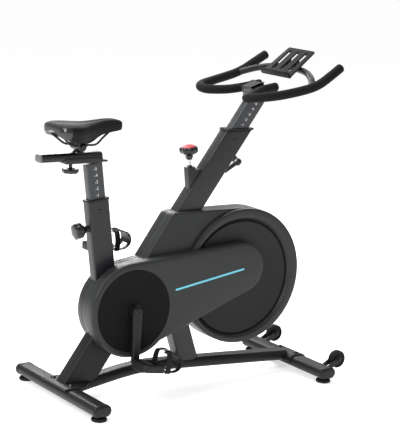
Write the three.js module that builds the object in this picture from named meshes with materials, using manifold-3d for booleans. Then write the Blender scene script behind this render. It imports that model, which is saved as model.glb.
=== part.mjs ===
// Upright exercise bike: steel frame on two stabilisers, enclosed flywheel, belt drive,
// adjustable seat and handlebar posts.
// Millimetres. +X forward (towards the handlebar), +Y to the rider's left, +Z up.
// The pieces are laid out from the point on the floor below the crank axle; the whole bike is
// then moved along X so that the origin is the bottom centre of its bounding box.

import * as THREE from 'three';
import { mergeVertices } from 'three/addons/utils/BufferGeometryUtils.js';
import Module from 'manifold-3d';

const wasm = await Module();
wasm.setup();

// ---------------------------------------------------------------- driving dimensions
const GAP = 0.3;                       // clearance between pieces that touch

const CRANK = { x: 0, z: 300 };        // crank axle, seen from the side
const CRANK_LENGTH = 165;
const FLYWHEEL = { x: 446, z: 366 };   // flywheel axle
const FLYWHEEL_R = 185;
const RING = { x: 456, z: 371, r: 238 };   // outer edge of the flywheel housing
const RECESS_R = 204;

const TUBE_WALL = 2.5;
const STAB_W = 66;                     // flat-oval base tube, long way
const STAB_H = 38;                     // flat-oval base tube, short way
const FOOT_H = 17;
const STAB_Z = FOOT_H + STAB_H / 2;
const REAR_STAB = { x: -214, half: 250, foot: 243 };
const FRONT_STAB = { x: 718, half: 222, foot: 212 };
const END_CAP = 18;

const WHEEL = { x: 794, y: 186, z: 68, r: 31, w: 22 };

const BODY_NEAR = -44;                 // faces of the centre shroud
const BODY_FAR = 38;
const RING_FACE = -60;
const COVER_FACE = -86;
const SHELL = 3;

const PULLEY_R = 110;
const FLY_PULLEY_R = 28;
const PULLEY_Y = -58;
const PULLEY_W = 16;

const ARM_IN = 94;                     // crank arms, distance of the inner and outer face from
const ARM_OUT = 114;                   // the middle of the bike
const PEDAL = { mid: 174, width: 92, length: 92, rear: 34, height: 24, pitch: -8 };

const SEAT_LEAN = 8.5;                 // degrees back from upright
const SEAT_TUBE = { x: -112, z: 663, deep: 78, wide: 40 };   // middle of its open top end
const SEAT_POST = { deep: 60, wide: 30, out: 126, inside: 170 };
const SADDLE_RISE = { x: -186, z: 827 };

const HANDLE_SLOPE = 54.5;             // degrees above level
const HANDLE_TUBE = { x: 433, z: 874, deep: 84, wide: 46 };  // middle of its level top end
const HANDLE_POST = { deep: 60, wide: 36, out: 134, inside: 120 };

const BRAKE = { x: 250, z: 755, lean: 7 };   // top of the brake block
const BAR_R = 11;
const GRIP_R = 16;

const SLIDER = { rear: -334, front: -104, z: 812, wide: 40, high: 28 };

const COLOURS = {
  frame: [0x35373a, 0.42, 0.55],
  post: [0x5a5d60, 0.4, 0.6],
  shroud: [0x2b2c2e, 0.45, 0.1],
  disc: [0x1c1d1e, 0.6, 0.05],
  black: [0x101112, 0.5, 0.05],
  rubber: [0x0c0c0d, 0.85, 0],
  steel: [0xb5b8ba, 0.3, 1],
  iron: [0x4a4b4d, 0.5, 0.9],
  foam: [0x141415, 0.95, 0],
  leather: [0x131314, 0.4, 0],
  red: [0xc81e3a, 0.35, 0],
  light: [0x7fe0f0, 0.2, 0],
};

// ---------------------------------------------------------------- small tools
const radians = THREE.MathUtils.degToRad;

function toSolid(geometry) {
  const bare = geometry.clone();
  bare.deleteAttribute('normal');
  bare.deleteAttribute('uv');
  const merged = mergeVertices(bare, 1e-4);
  const vertProperties = new Float32Array(merged.attributes.position.array);
  const triVerts = new Uint32Array(merged.index.array);
  return new wasm.Manifold(new wasm.Mesh({ numProp: 3, vertProperties, triVerts }));
}

function toGeometry(solid) {
  const mesh = solid.getMesh();
  const geometry = new THREE.BufferGeometry();
  geometry.setAttribute('position', new THREE.BufferAttribute(new Float32Array(mesh.vertProperties), 3));
  geometry.setIndex(new THREE.BufferAttribute(new Uint32Array(mesh.triVerts), 1));
  geometry.computeVertexNormals();
  return geometry;
}

function join(...geometries) {
  return toGeometry(geometries.map(toSolid).reduce((a, b) => a.add(b)));
}

function cut(geometry, ...tools) {
  return toGeometry(tools.map(toSolid).reduce((a, b) => a.subtract(b), toSolid(geometry)));
}

function common(a, b) {
  return toGeometry(toSolid(a).intersect(toSolid(b)));
}

// An outline drawn in X and Z becomes a slab from y0 to y1. grow moves the outline outwards.
function slab(shape, y0, y1, { bevel = 0, grow = 0, segments = 4, bevelSegments = 1 } = {}) {
  const geometry = new THREE.ExtrudeGeometry(shape, {
    depth: y1 - y0 - 2 * bevel,
    curveSegments: segments,
    bevelEnabled: bevel > 0 || grow !== 0,
    bevelThickness: bevel,
    bevelSize: bevel,
    bevelOffset: grow - bevel,
    bevelSegments: bevel > 0 ? bevelSegments : 0,
  });
  geometry.rotateX(Math.PI / 2);
  geometry.translate(0, y1 - bevel, 0);
  return geometry;
}

// An outline drawn in X and Y becomes a plate from z0 to z1.
function plate(shape, z0, z1, segments = 3) {
  const geometry = new THREE.ExtrudeGeometry(shape, {
    depth: z1 - z0,
    curveSegments: segments,
    bevelEnabled: false,
  });
  geometry.translate(0, 0, z0);
  return geometry;
}

function sweep(shape, curve, steps, segments = 2) {
  return new THREE.ExtrudeGeometry(shape, { steps, extrudePath: curve, curveSegments: segments });
}

function circleShape(x, z, r) {
  return new THREE.Shape().absarc(x, z, r, 0, 2 * Math.PI);
}

function outlineShape(points) {
  return new THREE.Shape(points.map(([x, z]) => new THREE.Vector2(x, z)));
}

function ovalShape(wide, high) {
  const r = high / 2;
  const flat = wide / 2 - r;
  const shape = new THREE.Shape();
  shape.absarc(flat, 0, r, -Math.PI / 2, Math.PI / 2);
  shape.absarc(-flat, 0, r, Math.PI / 2, 1.5 * Math.PI);
  return shape;
}

function boxShape(wide, high, r) {
  const w = wide / 2 - r;
  const h = high / 2 - r;
  const shape = new THREE.Shape();
  shape.absarc(w, h, r, 0, Math.PI / 2);
  shape.absarc(-w, h, r, Math.PI / 2, Math.PI);
  shape.absarc(-w, -h, r, Math.PI, 1.5 * Math.PI);
  shape.absarc(w, -h, r, 1.5 * Math.PI, 2 * Math.PI);
  return shape;
}

// A section with its wall, open at both ends once it is extruded.
function hollow(section, segments, wide, high, wall, ...rest) {
  const shape = section(wide, high, ...rest);
  const inner = section(wide - 2 * wall, high - 2 * wall, ...rest.map((r) => Math.max(r - wall, 1)));
  shape.holes.push(new THREE.Path(inner.getPoints(segments)));
  return shape;
}

// A round bar or disc along Y.
function rod(x, z, r, y0, y1, sides = 24) {
  const geometry = new THREE.CylinderGeometry(r, r, y1 - y0, sides);
  geometry.translate(x, (y0 + y1) / 2, z);
  return geometry;
}

function ringDisc(x, z, r, hole, y0, y1, sides = 40) {
  const shape = circleShape(x, z, r);
  shape.holes.push(new THREE.Path().absarc(x, z, hole, 0, 2 * Math.PI));
  return slab(shape, y0, y1, { segments: sides / 2 });
}

function box(x0, x1, y0, y1, z0, z1) {
  const geometry = new THREE.BoxGeometry(x1 - x0, y1 - y0, z1 - z0);
  geometry.translate((x0 + x1) / 2, (y0 + y1) / 2, (z0 + z1) / 2);
  return geometry;
}

// A body turned about its local Z; profile points are [radius, height].
function turned(profile, sides = 24) {
  const geometry = new THREE.LatheGeometry(profile.map(([r, h]) => new THREE.Vector2(r, h)), sides);
  geometry.rotateX(Math.PI / 2);
  return geometry;
}

// A hand knob about its local Z, with lobes round its rim and a stem below it.
function knob(r, high, lobes, stemR, stemLength) {
  const rim = [];
  const perLobe = 4;
  for (let i = 0; i < lobes * perLobe; i += 1) {
    const angle = (i / (lobes * perLobe)) * 2 * Math.PI;
    const radius = r * (0.92 + 0.08 * Math.cos(lobes * angle));
    rim.push([radius * Math.cos(angle), radius * Math.sin(angle)]);
  }
  const head = new THREE.ExtrudeGeometry(outlineShape(rim), {
    depth: high - 6,
    bevelEnabled: true,
    bevelThickness: 3,
    bevelSize: 3,
    bevelOffset: -3,
    bevelSegments: 1,
  });
  head.translate(0, 0, 3);
  const stem = new THREE.CylinderGeometry(stemR, stemR, stemLength + 2, 16);
  stem.rotateX(Math.PI / 2);
  stem.translate(0, 0, 1 - stemLength / 2);
  return join(head, stem);
}

// Turns a body built about local Z so that local Z points along direction, and moves it to point.
function aim(geometry, point, direction) {
  const turn = new THREE.Quaternion().setFromUnitVectors(
    new THREE.Vector3(0, 0, 1),
    new THREE.Vector3(...direction).normalize(),
  );
  geometry.applyQuaternion(turn);
  geometry.translate(...point);
  return geometry;
}

function sideTurn(angle, x, z) {
  return new THREE.Matrix4().makeTranslation(x, 0, z)
    .multiply(new THREE.Matrix4().makeRotationY(-radians(angle)));
}

// A tube whose length is local X, turned by angle above level about Y, from (x, z).
function slantedBar(section, from, to, x, z, angle) {
  const geometry = new THREE.ExtrudeGeometry(section, {
    depth: to - from,
    curveSegments: 1,
    bevelEnabled: false,
  });
  geometry.applyMatrix4(new THREE.Matrix4().makeBasis(
    new THREE.Vector3(0, 1, 0),
    new THREE.Vector3(0, 0, 1),
    new THREE.Vector3(1, 0, 0),
  ));
  geometry.translate(from, 0, 0);
  geometry.applyMatrix4(sideTurn(angle, x, z));
  return geometry;
}

const bike = new THREE.Group();

function add(name, geometry, colour) {
  const [hex, roughness, metalness] = COLOURS[colour];
  const material = new THREE.MeshStandardMaterial({ color: hex, roughness, metalness });
  const mesh = new THREE.Mesh(geometry, material);
  mesh.name = name;
  bike.add(mesh);
  return mesh;
}

// ---------------------------------------------------------------- places on the slanted tubes
const seatUp = [-Math.sin(radians(SEAT_LEAN)), Math.cos(radians(SEAT_LEAN))];
const seatAngle = 90 + SEAT_LEAN;
const handleUp = [Math.cos(radians(HANDLE_SLOPE)), Math.sin(radians(HANDLE_SLOPE))];
const handleFront = [handleUp[1], -handleUp[0]];

// Section widths are given across Y first, then across the tube in the side view.
function seatBar(section, from, to) {
  return slantedBar(section, from, to, SEAT_TUBE.x, SEAT_TUBE.z, seatAngle);
}

function handleBar(section, from, to) {
  return slantedBar(section, from, to, HANDLE_TUBE.x, HANDLE_TUBE.z, HANDLE_SLOPE);
}

const SEAT_TUBE_DOWN = 335;
const HANDLE_TUBE_DOWN = 545;
const TUBE_CORNER = 5;

const REAR_LEG = { x: 2, z: 294, angle: 235, from: 30, to: 345, deep: 102, wide: 56 };
const FRONT_LEG = { x: 146, z: 436, angle: 289.5, to: 380, deep: 72, wide: 56 };

function rearLegBar(grow = 0) {
  const { deep, wide, from, to, x, z, angle } = REAR_LEG;
  const section = grow > 0
    ? boxShape(wide + 2 * grow, deep + 2 * grow, TUBE_CORNER)
    : hollow(boxShape, 1, wide, deep, TUBE_WALL, TUBE_CORNER);
  return slantedBar(section, from, to, x, z, angle);
}

function frontLegBar(grow = 0) {
  const { deep, wide, to, x, z, angle } = FRONT_LEG;
  const section = grow > 0
    ? boxShape(wide + 2 * grow, deep + 2 * grow, TUBE_CORNER)
    : hollow(boxShape, 1, wide, deep, TUBE_WALL, TUBE_CORNER);
  return slantedBar(section, 0, to, x, z, angle);
}

// ---------------------------------------------------------------- base
const BEAM_STEPS = 8;

function beamPath(longer = 0) {
  return new THREE.CatmullRomCurve3([
    new THREE.Vector3(-174 - longer, 0, 38.2),
    new THREE.Vector3(-90, 0, 53),
    new THREE.Vector3(20, 0, 71),
    new THREE.Vector3(110, 0, 78),
    new THREE.Vector3(230, 0, 74),
    new THREE.Vector3(450, 0, 63),
    new THREE.Vector3(694, 0, 50),
  ]);
}

function stabilizerTube(stab, grow = 0) {
  const section = grow > 0
    ? ovalShape(STAB_W + 2 * grow, STAB_H + 2 * grow)
    : hollow(ovalShape, 3, STAB_W, STAB_H, TUBE_WALL);
  const tube = slab(section, -stab.half, stab.half, { segments: 3 });
  tube.translate(stab.x, 0, STAB_Z);
  return tube;
}

const PLATE_Z = STAB_Z + STAB_H / 2 + GAP;
const PLATE_T = 5;

function rearPlate() {
  const shape = new THREE.Shape();
  const r = 16;
  shape.moveTo(-246, -78);
  shape.lineTo(-188, -78);
  shape.absarc(-172, -62, r, -Math.PI / 2, 0);
  shape.lineTo(-128, -33);
  shape.lineTo(-128, 33);
  shape.lineTo(-172 + r, 62);
  shape.absarc(-172, 62, r, 0, Math.PI / 2);
  shape.lineTo(-246, 78);
  return plate(shape, PLATE_Z - 3, PLATE_Z + PLATE_T);
}

// Half shell that sits over the front tube; the tube's own room is cut out of the whole beam.
function frontSaddle() {
  const half = 62;
  const wrap = slab(ovalShape(STAB_W + 10, STAB_H + 10), -half, half, { segments: 3 });
  wrap.translate(FRONT_STAB.x, 0, STAB_Z);
  return cut(wrap, box(FRONT_STAB.x - 60, FRONT_STAB.x + 60, -half - 1, half + 1, 0, FOOT_H + 8));
}

function baseBeam() {
  const beam = sweep(ovalShape(STAB_W, STAB_H), beamPath(), BEAM_STEPS);
  const bore = sweep(ovalShape(STAB_W - 2 * TUBE_WALL, STAB_H - 2 * TUBE_WALL), beamPath(4), BEAM_STEPS);
  const whole = join(beam, rearPlate(), frontSaddle());
  return cut(whole, bore, stabilizerTube(REAR_STAB, GAP), stabilizerTube(FRONT_STAB, GAP), ...boltHoles());
}

// Bolts that hold the two stabilisers to the beam.
const BOLTS = {
  rear_right: { x: REAR_STAB.x, y: -58 },
  rear_left: { x: REAR_STAB.x, y: 58 },
  front_right: { x: FRONT_STAB.x, y: -46 },
  front_left: { x: FRONT_STAB.x, y: 46 },
};

function boltHoles() {
  return Object.values(BOLTS).map(({ x, y }) => {
    const hole = new THREE.CylinderGeometry(5.2, 5.2, 60, 16);
    hole.rotateX(Math.PI / 2);
    hole.translate(x, y, STAB_Z + 20);
    return hole;
  });
}

function stabilizer(stab) {
  return cut(stabilizerTube(stab), ...boltHoles());
}

function baseBolt({ x, y }) {
  const top = PLATE_Z + PLATE_T + GAP;
  const bolt = turned([[0, 20 - top], [4.8, 20 - top], [4.8, 0], [9.5, 0], [9.5, 3], [6, 6], [0, 6]], 10);
  bolt.translate(x, y, top);
  return bolt;
}

function endCap(stab, side) {
  const flange = slab(ovalShape(STAB_W + 2, STAB_H + 2), 0, END_CAP, { bevel: 5, segments: 3 });
  const plug = slab(ovalShape(STAB_W - 2 * TUBE_WALL - 2, STAB_H - 2 * TUBE_WALL - 2), -16, 4, { segments: 2 });
  const cap = join(flange, plug);
  if (side < 0) {
    cap.rotateZ(Math.PI);
  }
  cap.translate(stab.x, side * (stab.half + GAP), STAB_Z);
  return cap;
}

function levellingFoot(stab, side) {
  const profile = [[0, 0], [24, 0], [26, 2], [26, 9], [22, 12], [6, 12], [6, FOOT_H - GAP], [0, FOOT_H - GAP]];
  const foot = turned(profile, 14);
  foot.translate(stab.x, side * stab.foot, 0);
  return foot;
}

// Two cheeks and the wheel's axle pin, welded to the front tube.
function wheelBracket(side) {
  const reach = WHEEL.w / 2 + 4;
  const cheeks = [-1, 1].map((cheek) => {
    const y = side * WHEEL.y + cheek * reach;
    const shape = new THREE.Shape();
    shape.moveTo(FRONT_STAB.x + 27, 34);
    shape.lineTo(FRONT_STAB.x + 56, 46);
    shape.absarc(WHEEL.x, WHEEL.z, 11, -Math.PI / 3, Math.PI * 0.62);
    shape.lineTo(FRONT_STAB.x + 27, 52);
    return slab(shape, y - 1.5, y + 1.5, { segments: 2 });
  });
  const pin = rod(WHEEL.x, WHEEL.z, 4, side * WHEEL.y - reach - 5, side * WHEEL.y + reach + 5, 12);
  const outer = side * (WHEEL.y + reach + 3);
  const head = rod(WHEEL.x, WHEEL.z, 7.5, outer - 3, outer + 3, 12);
  return join(...cheeks, pin, head);
}

function transportWheel(side) {
  const w = WHEEL.w / 2;
  const profile = [[4.3, -w], [12, -w], [14, -w + 3], [24, -w + 3], [26, -w], [31, -w + 3],
    [31, w - 3], [26, w], [24, w - 3], [14, w - 3], [12, w], [4.3, w], [4.3, -w]];
  const wheel = turned(profile, 16);
  wheel.rotateX(Math.PI / 2);
  wheel.translate(WHEEL.x, side * WHEEL.y, WHEEL.z);
  return wheel;
}

// ---------------------------------------------------------------- centre shroud and covers
function bodyOutline() {
  const slope = radians(10);
  const shape = new THREE.Shape();
  shape.absarc(CRANK.x, CRANK.z, 148, radians(-50), Math.PI / 2 + slope, true);
  shape.lineTo(64, 460);
  shape.lineTo(160, 600);
  shape.quadraticCurveTo(166, 609, 176, 609);
  shape.lineTo(RING.x, RING.z + RING.r);
  shape.absarc(RING.x, RING.z, RING.r, Math.PI / 2, radians(-146), true);
  shape.closePath();
  return shape;
}

function coverOutline() {
  const rear = 160;
  const front = { x: 434, z: 405, r: 90 };
  const between = Math.hypot(front.x, front.z - CRANK.z);
  const climb = Math.atan2(front.z - CRANK.z, front.x);
  const spread = Math.asin((rear - front.r) / between);
  const upper = climb - spread + Math.PI / 2;
  const shape = new THREE.Shape();
  shape.absarc(CRANK.x, CRANK.z, rear, radians(-46), upper, true);
  shape.absarc(front.x, front.z, front.r, upper, radians(-71), true);
  shape.closePath();
  return shape;
}

const COVER_BACK = BODY_NEAR - GAP;

function bodyShell() {
  const outer = slab(bodyOutline(), BODY_NEAR, BODY_FAR, { bevel: 5, segments: 9 });
  const ring = slab(circleShape(RING.x, RING.z, RING.r - 3), RING_FACE, BODY_NEAR + 8, { bevel: 5, segments: 14 });
  const cavity = slab(bodyOutline(), BODY_NEAR + SHELL + 0.5, BODY_FAR - SHELL - 0.5, { grow: -SHELL - 0.5, segments: 9 });
  const recess = slab(circleShape(FLYWHEEL.x, FLYWHEEL.z, RECESS_R), RING_FACE - 5, BODY_NEAR, { segments: 14 });
  const drive = slab(coverOutline(), COVER_FACE - 20, BODY_NEAR, { grow: 0.5, segments: 9 });
  return cut(
    cut(join(outer, cut(ring, recess, drive)), cavity),
    ...bodyOpenings(),
  );
}

function bodyOpenings() {
  const grow = 0.8;
  const seat = seatBar(boxShape(SEAT_TUBE.wide + 2 * grow, SEAT_TUBE.deep + 2 * grow, TUBE_CORNER), -SEAT_TUBE_DOWN, -100);
  const handle = handleBar(boxShape(HANDLE_TUBE.wide + 2 * grow, HANDLE_TUBE.deep + 2 * grow, TUBE_CORNER), -440, -200);
  return [
    seat,
    handle,
    rearLegBar(grow),
    frontLegBar(grow),
    rod(CRANK.x, CRANK.z, 27, -100, 100, 16),
    rod(FLYWHEEL.x, FLYWHEEL.z, 14, -100, 0, 12),
  ];
}

function shroudHalf(shell, side) {
  const half = side < 0 ? box(-300, 800, -120, -GAP / 2, 0, 800) : box(-300, 800, GAP / 2, 120, 0, 800);
  return common(shell, half);
}

const STRIP = { x0: 160, z0: 356, x1: 440, z1: 404, high: 7, deep: 1.6 };

function stripShape(grow) {
  const length = Math.hypot(STRIP.x1 - STRIP.x0, STRIP.z1 - STRIP.z0);
  return ovalShape(length + 2 * grow, STRIP.high + 2 * grow);
}

function stripSlab(y0, y1, grow) {
  const strip = slab(stripShape(grow), y0, y1, { segments: 4 });
  const slope = THREE.MathUtils.radToDeg(Math.atan2(STRIP.z1 - STRIP.z0, STRIP.x1 - STRIP.x0));
  strip.applyMatrix4(sideTurn(slope, (STRIP.x0 + STRIP.x1) / 2, (STRIP.z0 + STRIP.z1) / 2));
  return strip;
}

const DISC_R = 139;

function driveCover() {
  const outer = slab(coverOutline(), COVER_FACE, COVER_BACK + 12, { bevel: 10, segments: 9 });
  const cavity = slab(coverOutline(), COVER_FACE + SHELL, COVER_BACK + 20, { grow: -SHELL - 1, bevel: 8, segments: 8 });
  const back = box(-300, 800, COVER_BACK, 100, 0, 800);
  return cut(
    outer,
    cavity,
    back,
    rod(CRANK.x, CRANK.z, DISC_R + GAP, COVER_FACE - 1, COVER_FACE + 5, 36),
    stripSlab(COVER_FACE - 1, COVER_FACE + STRIP.deep, 0.15),
  );
}

function crankDisc() {
  const disc = ringDisc(CRANK.x, CRANK.z, DISC_R, 34, COVER_FACE + 1.2, COVER_FACE + SHELL + 0.8, 36);
  return disc;
}

// ---------------------------------------------------------------- frame inside and above the shroud
function seatTube() {
  const tube = seatBar(hollow(boxShape, 1, SEAT_TUBE.wide, SEAT_TUBE.deep, TUBE_WALL, TUBE_CORNER), -SEAT_TUBE_DOWN, 0);
  return cut(tube, seatKnobHole(), rearLegBar(GAP), bracketSpace());
}

function bracketSpace() {
  return rod(CRANK.x, CRANK.z, 30, -60, 60, 24);
}

function handleTube() {
  const tube = handleBar(hollow(boxShape, 1, HANDLE_TUBE.wide, HANDLE_TUBE.deep, TUBE_WALL, TUBE_CORNER), -HANDLE_TUBE_DOWN, 80);
  const above = box(200, 700, -60, 60, HANDLE_TUBE.z, HANDLE_TUBE.z + 200);
  return cut(tube, above, brakeRodSpace(6.5), leverHole());
}

function frontLeg() {
  return cut(frontLegBar(), box(-100, 500, -60, 60, 0, 94));
}

function rearLeg() {
  const base = box(-400, 200, -60, 60, -60, PLATE_Z + PLATE_T + GAP);
  return cut(rearLegBar(), base, sweep(ovalShape(STAB_W + 2 * GAP, STAB_H + 2 * GAP), beamPath(), BEAM_STEPS));
}

// Bearing shell for the crank axle, with two side plates that carry the flywheel axle.
function driveFrame() {
  const shell = ringDisc(CRANK.x, CRANK.z, 26, 20, -34, 34, 16);
  const plates = [-1, 1].map((side) => {
    const shape = new THREE.Shape();
    shape.absarc(CRANK.x, CRANK.z, 40, radians(80), radians(300));
    shape.lineTo(210, 330);
    shape.absarc(FLYWHEEL.x, FLYWHEEL.z, 24, radians(-82), radians(82));
    shape.lineTo(200, 402);
    shape.lineTo(90, 400);
    shape.closePath();
    const y = side * 31.5;
    return cut(slab(shape, y - 1.5, y + 1.5), rod(CRANK.x, CRANK.z, 23, -60, 60, 20));
  });
  const whole = join(shell, ...plates);
  return cut(whole, rod(FLYWHEEL.x, FLYWHEEL.z, 8.3, -60, 60, 12));
}

// Bearing cartridge pressed into the shell; the crank axle turns inside it.
function bottomBracket() {
  return ringDisc(CRANK.x, CRANK.z, 19.2, 10.8, -33, 33, 16);
}

// ---------------------------------------------------------------- drive train
function crankAxle() {
  const middle = rod(CRANK.x, CRANK.z, 10, -70, 70, 14);
  const ends = rod(CRANK.x, CRANK.z, 8, -ARM_OUT + 4, ARM_OUT - 4, 14);
  return join(middle, ends);
}

function crankPulley() {
  const web = ringDisc(CRANK.x, CRANK.z, PULLEY_R - 6, 10.3, PULLEY_Y - 3, PULLEY_Y + 3, 24);
  const rim = ringDisc(CRANK.x, CRANK.z, PULLEY_R, PULLEY_R - 8, PULLEY_Y - PULLEY_W / 2, PULLEY_Y + PULLEY_W / 2, 24);
  const hub = ringDisc(CRANK.x, CRANK.z, 22, 10.3, PULLEY_Y - 7, PULLEY_Y + 7, 16);
  const windows = [0, 1, 2, 3, 4].map((i) => {
    const angle = (i * 2 * Math.PI) / 5;
    return rod(CRANK.x + 60 * Math.cos(angle), CRANK.z + 60 * Math.sin(angle), 22, -80, 0, 8);
  });
  return join(cut(web, ...windows), rim, hub);
}

function beltLoop(extra) {
  const big = PULLEY_R + extra;
  const small = FLY_PULLEY_R + extra;
  const between = Math.hypot(FLYWHEEL.x, FLYWHEEL.z - CRANK.z);
  const climb = Math.atan2(FLYWHEEL.z - CRANK.z, FLYWHEEL.x);
  const spread = Math.acos((big - small) / between);
  const shape = new THREE.Shape();
  shape.absarc(CRANK.x, CRANK.z, big, climb + spread, climb - spread + 2 * Math.PI);
  shape.absarc(FLYWHEEL.x, FLYWHEEL.z, small, climb - spread, climb + spread);
  shape.closePath();
  return shape;
}

function driveBelt() {
  const half = PULLEY_W / 2 - 2;
  const outer = slab(beltLoop(4.4), PULLEY_Y - half, PULLEY_Y + half, { segments: 8 });
  const inner = slab(beltLoop(1.4), PULLEY_Y - half - 1, PULLEY_Y + half + 1, { segments: 8 });
  return cut(outer, inner);
}

function flywheel() {
  const profile = [[8.4, -18], [30, -18], [34, -6], [144, -6], [144, -12], [FLYWHEEL_R, -12],
    [FLYWHEEL_R, 12], [144, 12], [144, 6], [34, 6], [30, 18], [8.4, 18], [8.4, -18]];
  const wheel = turned(profile, 24);
  wheel.rotateX(Math.PI / 2);
  wheel.translate(FLYWHEEL.x, 0, FLYWHEEL.z);
  const holes = [0, 1, 2, 3, 4, 5].map((i) => {
    const angle = (i * Math.PI) / 3;
    return rod(FLYWHEEL.x + 92 * Math.cos(angle), FLYWHEEL.z + 92 * Math.sin(angle), 24, -20, 20, 8);
  });
  return cut(wheel, ...holes);
}

function flywheelAxle() {
  return rod(FLYWHEEL.x, FLYWHEEL.z, 7.8, -72, 34, 12);
}

function flywheelPulley() {
  const half = PULLEY_W / 2;
  const profile = [[0, -half], [FLY_PULLEY_R + 3, -half], [FLY_PULLEY_R + 3, -half + 1.5],
    [FLY_PULLEY_R, -half + 1.5], [FLY_PULLEY_R, half - 1.5], [FLY_PULLEY_R + 3, half - 1.5],
    [FLY_PULLEY_R + 3, half], [0, half]];
  const pulley = turned(profile, 16);
  pulley.rotateX(Math.PI / 2);
  pulley.translate(FLYWHEEL.x, PULLEY_Y, FLYWHEEL.z);
  return pulley;
}

// The arm is drawn pointing down on the right side (-Y); the left arm is the same piece turned
// half a turn about the Z axis and then pointing up.
function crankArm() {
  const shape = new THREE.Shape();
  shape.absarc(0, 0, 20, 0, Math.PI);
  shape.lineTo(-14, -CRANK_LENGTH + 4);
  shape.absarc(0, -CRANK_LENGTH, 14, Math.PI - 0.1, 2 * Math.PI + 0.1);
  shape.closePath();
  const arm = slab(shape, -ARM_OUT, -ARM_IN, { bevel: 3, segments: 4 });
  const boss = rod(0, 0, 22, -ARM_IN - 2, -ARM_IN + 18, 16);
  const cap = rod(0, 0, 13, -ARM_OUT - 3, -ARM_OUT + 1, 12);
  const bore = rod(0, 0, 8.6, -ARM_OUT + 3, -50, 14);
  const spindle = pedalSpindle();
  spindle.translate(0, 0, -CRANK_LENGTH);
  return join(cut(join(arm, boss, cap), bore), spindle);
}

function pedalBody() {
  const { mid, width, length, rear, height } = PEDAL;
  const near = -(mid - width / 2);
  const far = -(mid + width / 2);
  const half = length / 2;
  const outline = outlineShape([
    [-rear + 10, far], [half - 6, far], [half, far + 6], [half, near - 6],
    [half - 6, near], [-rear + 10, near], [-rear, near - 10], [-rear, far + 10],
  ]);
  const windows = [[-rear + 9, -12], [13, half - 9]].map(([from, to]) => (
    box(from, to, far + 12, near - 12, -height, height)
  ));
  const body = cut(plate(outline, -height / 2, height / 2), ...windows);
  return cut(body, rod(0, 0, 7.3, far + 8, 0, 20));
}

function pedalSpindle() {
  const { mid, width } = PEDAL;
  const shank = rod(0, 0, 6.8, -(mid + width / 2) + 9, -ARM_IN - 2, 12);
  const flange = rod(0, 0, 10, -ARM_OUT - 6, -ARM_OUT + 1, 8);
  return join(shank, flange);
}

// Hoop over the front of the shoe, open towards the rider.
function toeCage() {
  const { mid, length, height } = PEDAL;
  const start = length / 2 + 1.5;
  const wire = 3.2;
  const section = outlineShape([[-6, -wire], [6, -wire], [6, wire], [-6, wire]]);
  const side = (y) => new THREE.CatmullRomCurve3([
    new THREE.Vector3(start, y, -height / 2 + 2),
    new THREE.Vector3(start + 26, y, -height / 2),
    new THREE.Vector3(start + 62, y, -4),
    new THREE.Vector3(start + 72, y, 22),
    new THREE.Vector3(start + 58, y, 46),
    new THREE.Vector3(start + 26, y, 54),
    new THREE.Vector3(start + 2, y, 52),
  ]);
  const hoops = [-28, 28].map((offset) => sweep(section, side(-mid + offset), 12));
  const bridgeFront = box(start + 66, start + 71, -mid - 30, -mid + 30, 8, 30);
  const bridgeTop = box(start + 6, start + 18, -mid - 30, -mid + 30, 50.5, 54.5);
  const foot = box(start, start + 5, -mid - 34, -mid + 34, -height / 2 + 1, height / 2 - 2);
  return join(...hoops, bridgeFront, bridgeTop, foot);
}

// Right-hand pieces are drawn with the arm pointing down. The left-hand ones are their mirror
// image: the arm points up and the pedal stays level.
function placeCrankPiece(geometry, side, atPedal) {
  const placed = geometry.clone();
  if (atPedal) {
    placed.rotateY(-radians(side < 0 ? PEDAL.pitch : 0));
  }
  if (side > 0) {
    placed.rotateX(atPedal ? 0 : Math.PI);
    if (atPedal) {
      mirrorAcross(placed);
    }
  }
  if (atPedal) {
    placed.translate(0, 0, side * CRANK_LENGTH);
  }
  placed.translate(CRANK.x, 0, CRANK.z);
  return placed;
}

// Mirror image in Y, with the faces turned back to point outwards.
function mirrorAcross(geometry) {
  geometry.scale(1, -1, 1);
  const faces = geometry.index.array;
  for (let i = 0; i < faces.length; i += 3) {
    [faces[i], faces[i + 1]] = [faces[i + 1], faces[i]];
  }
  geometry.computeVertexNormals();
  return geometry;
}

// ---------------------------------------------------------------- brake
const brakeUp = [-Math.sin(radians(BRAKE.lean)), Math.cos(radians(BRAKE.lean))];
const brakeAngle = 90 + BRAKE.lean;

function brakeBar(r, from, to, sides = 16) {
  const bar = new THREE.CylinderGeometry(r, r, to - from, sides);
  bar.rotateZ(-Math.PI / 2);
  bar.translate((from + to) / 2, 0, 0);
  bar.applyMatrix4(sideTurn(brakeAngle, BRAKE.x, BRAKE.z));
  return bar;
}

function brakeRodSpace(r) {
  return brakeBar(r, -300, 60);
}

function brakeHousing() {
  const block = slantedBar(boxShape(30, 30, 3), -110, 0, BRAKE.x, BRAKE.z, brakeAngle);
  const behindTube = handleBar(
    boxShape(HANDLE_TUBE.wide - 2, HANDLE_TUBE.deep - 2, TUBE_CORNER),
    -HANDLE_TUBE_DOWN,
    0,
  );
  const front = slantedBar(boxShape(30, 30, 3), -56, -3, BRAKE.x + 22, BRAKE.z - 3, brakeAngle);
  return cut(join(block, front), behindTube, brakeRodSpace(5.4));
}

const ROD_REACH = 268;

function brakeRod() {
  const thin = brakeBar(4, -ROD_REACH, 36);
  const collar = brakeBar(6, -ROD_REACH, -ROD_REACH + 12);
  return join(thin, collar);
}

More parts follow.
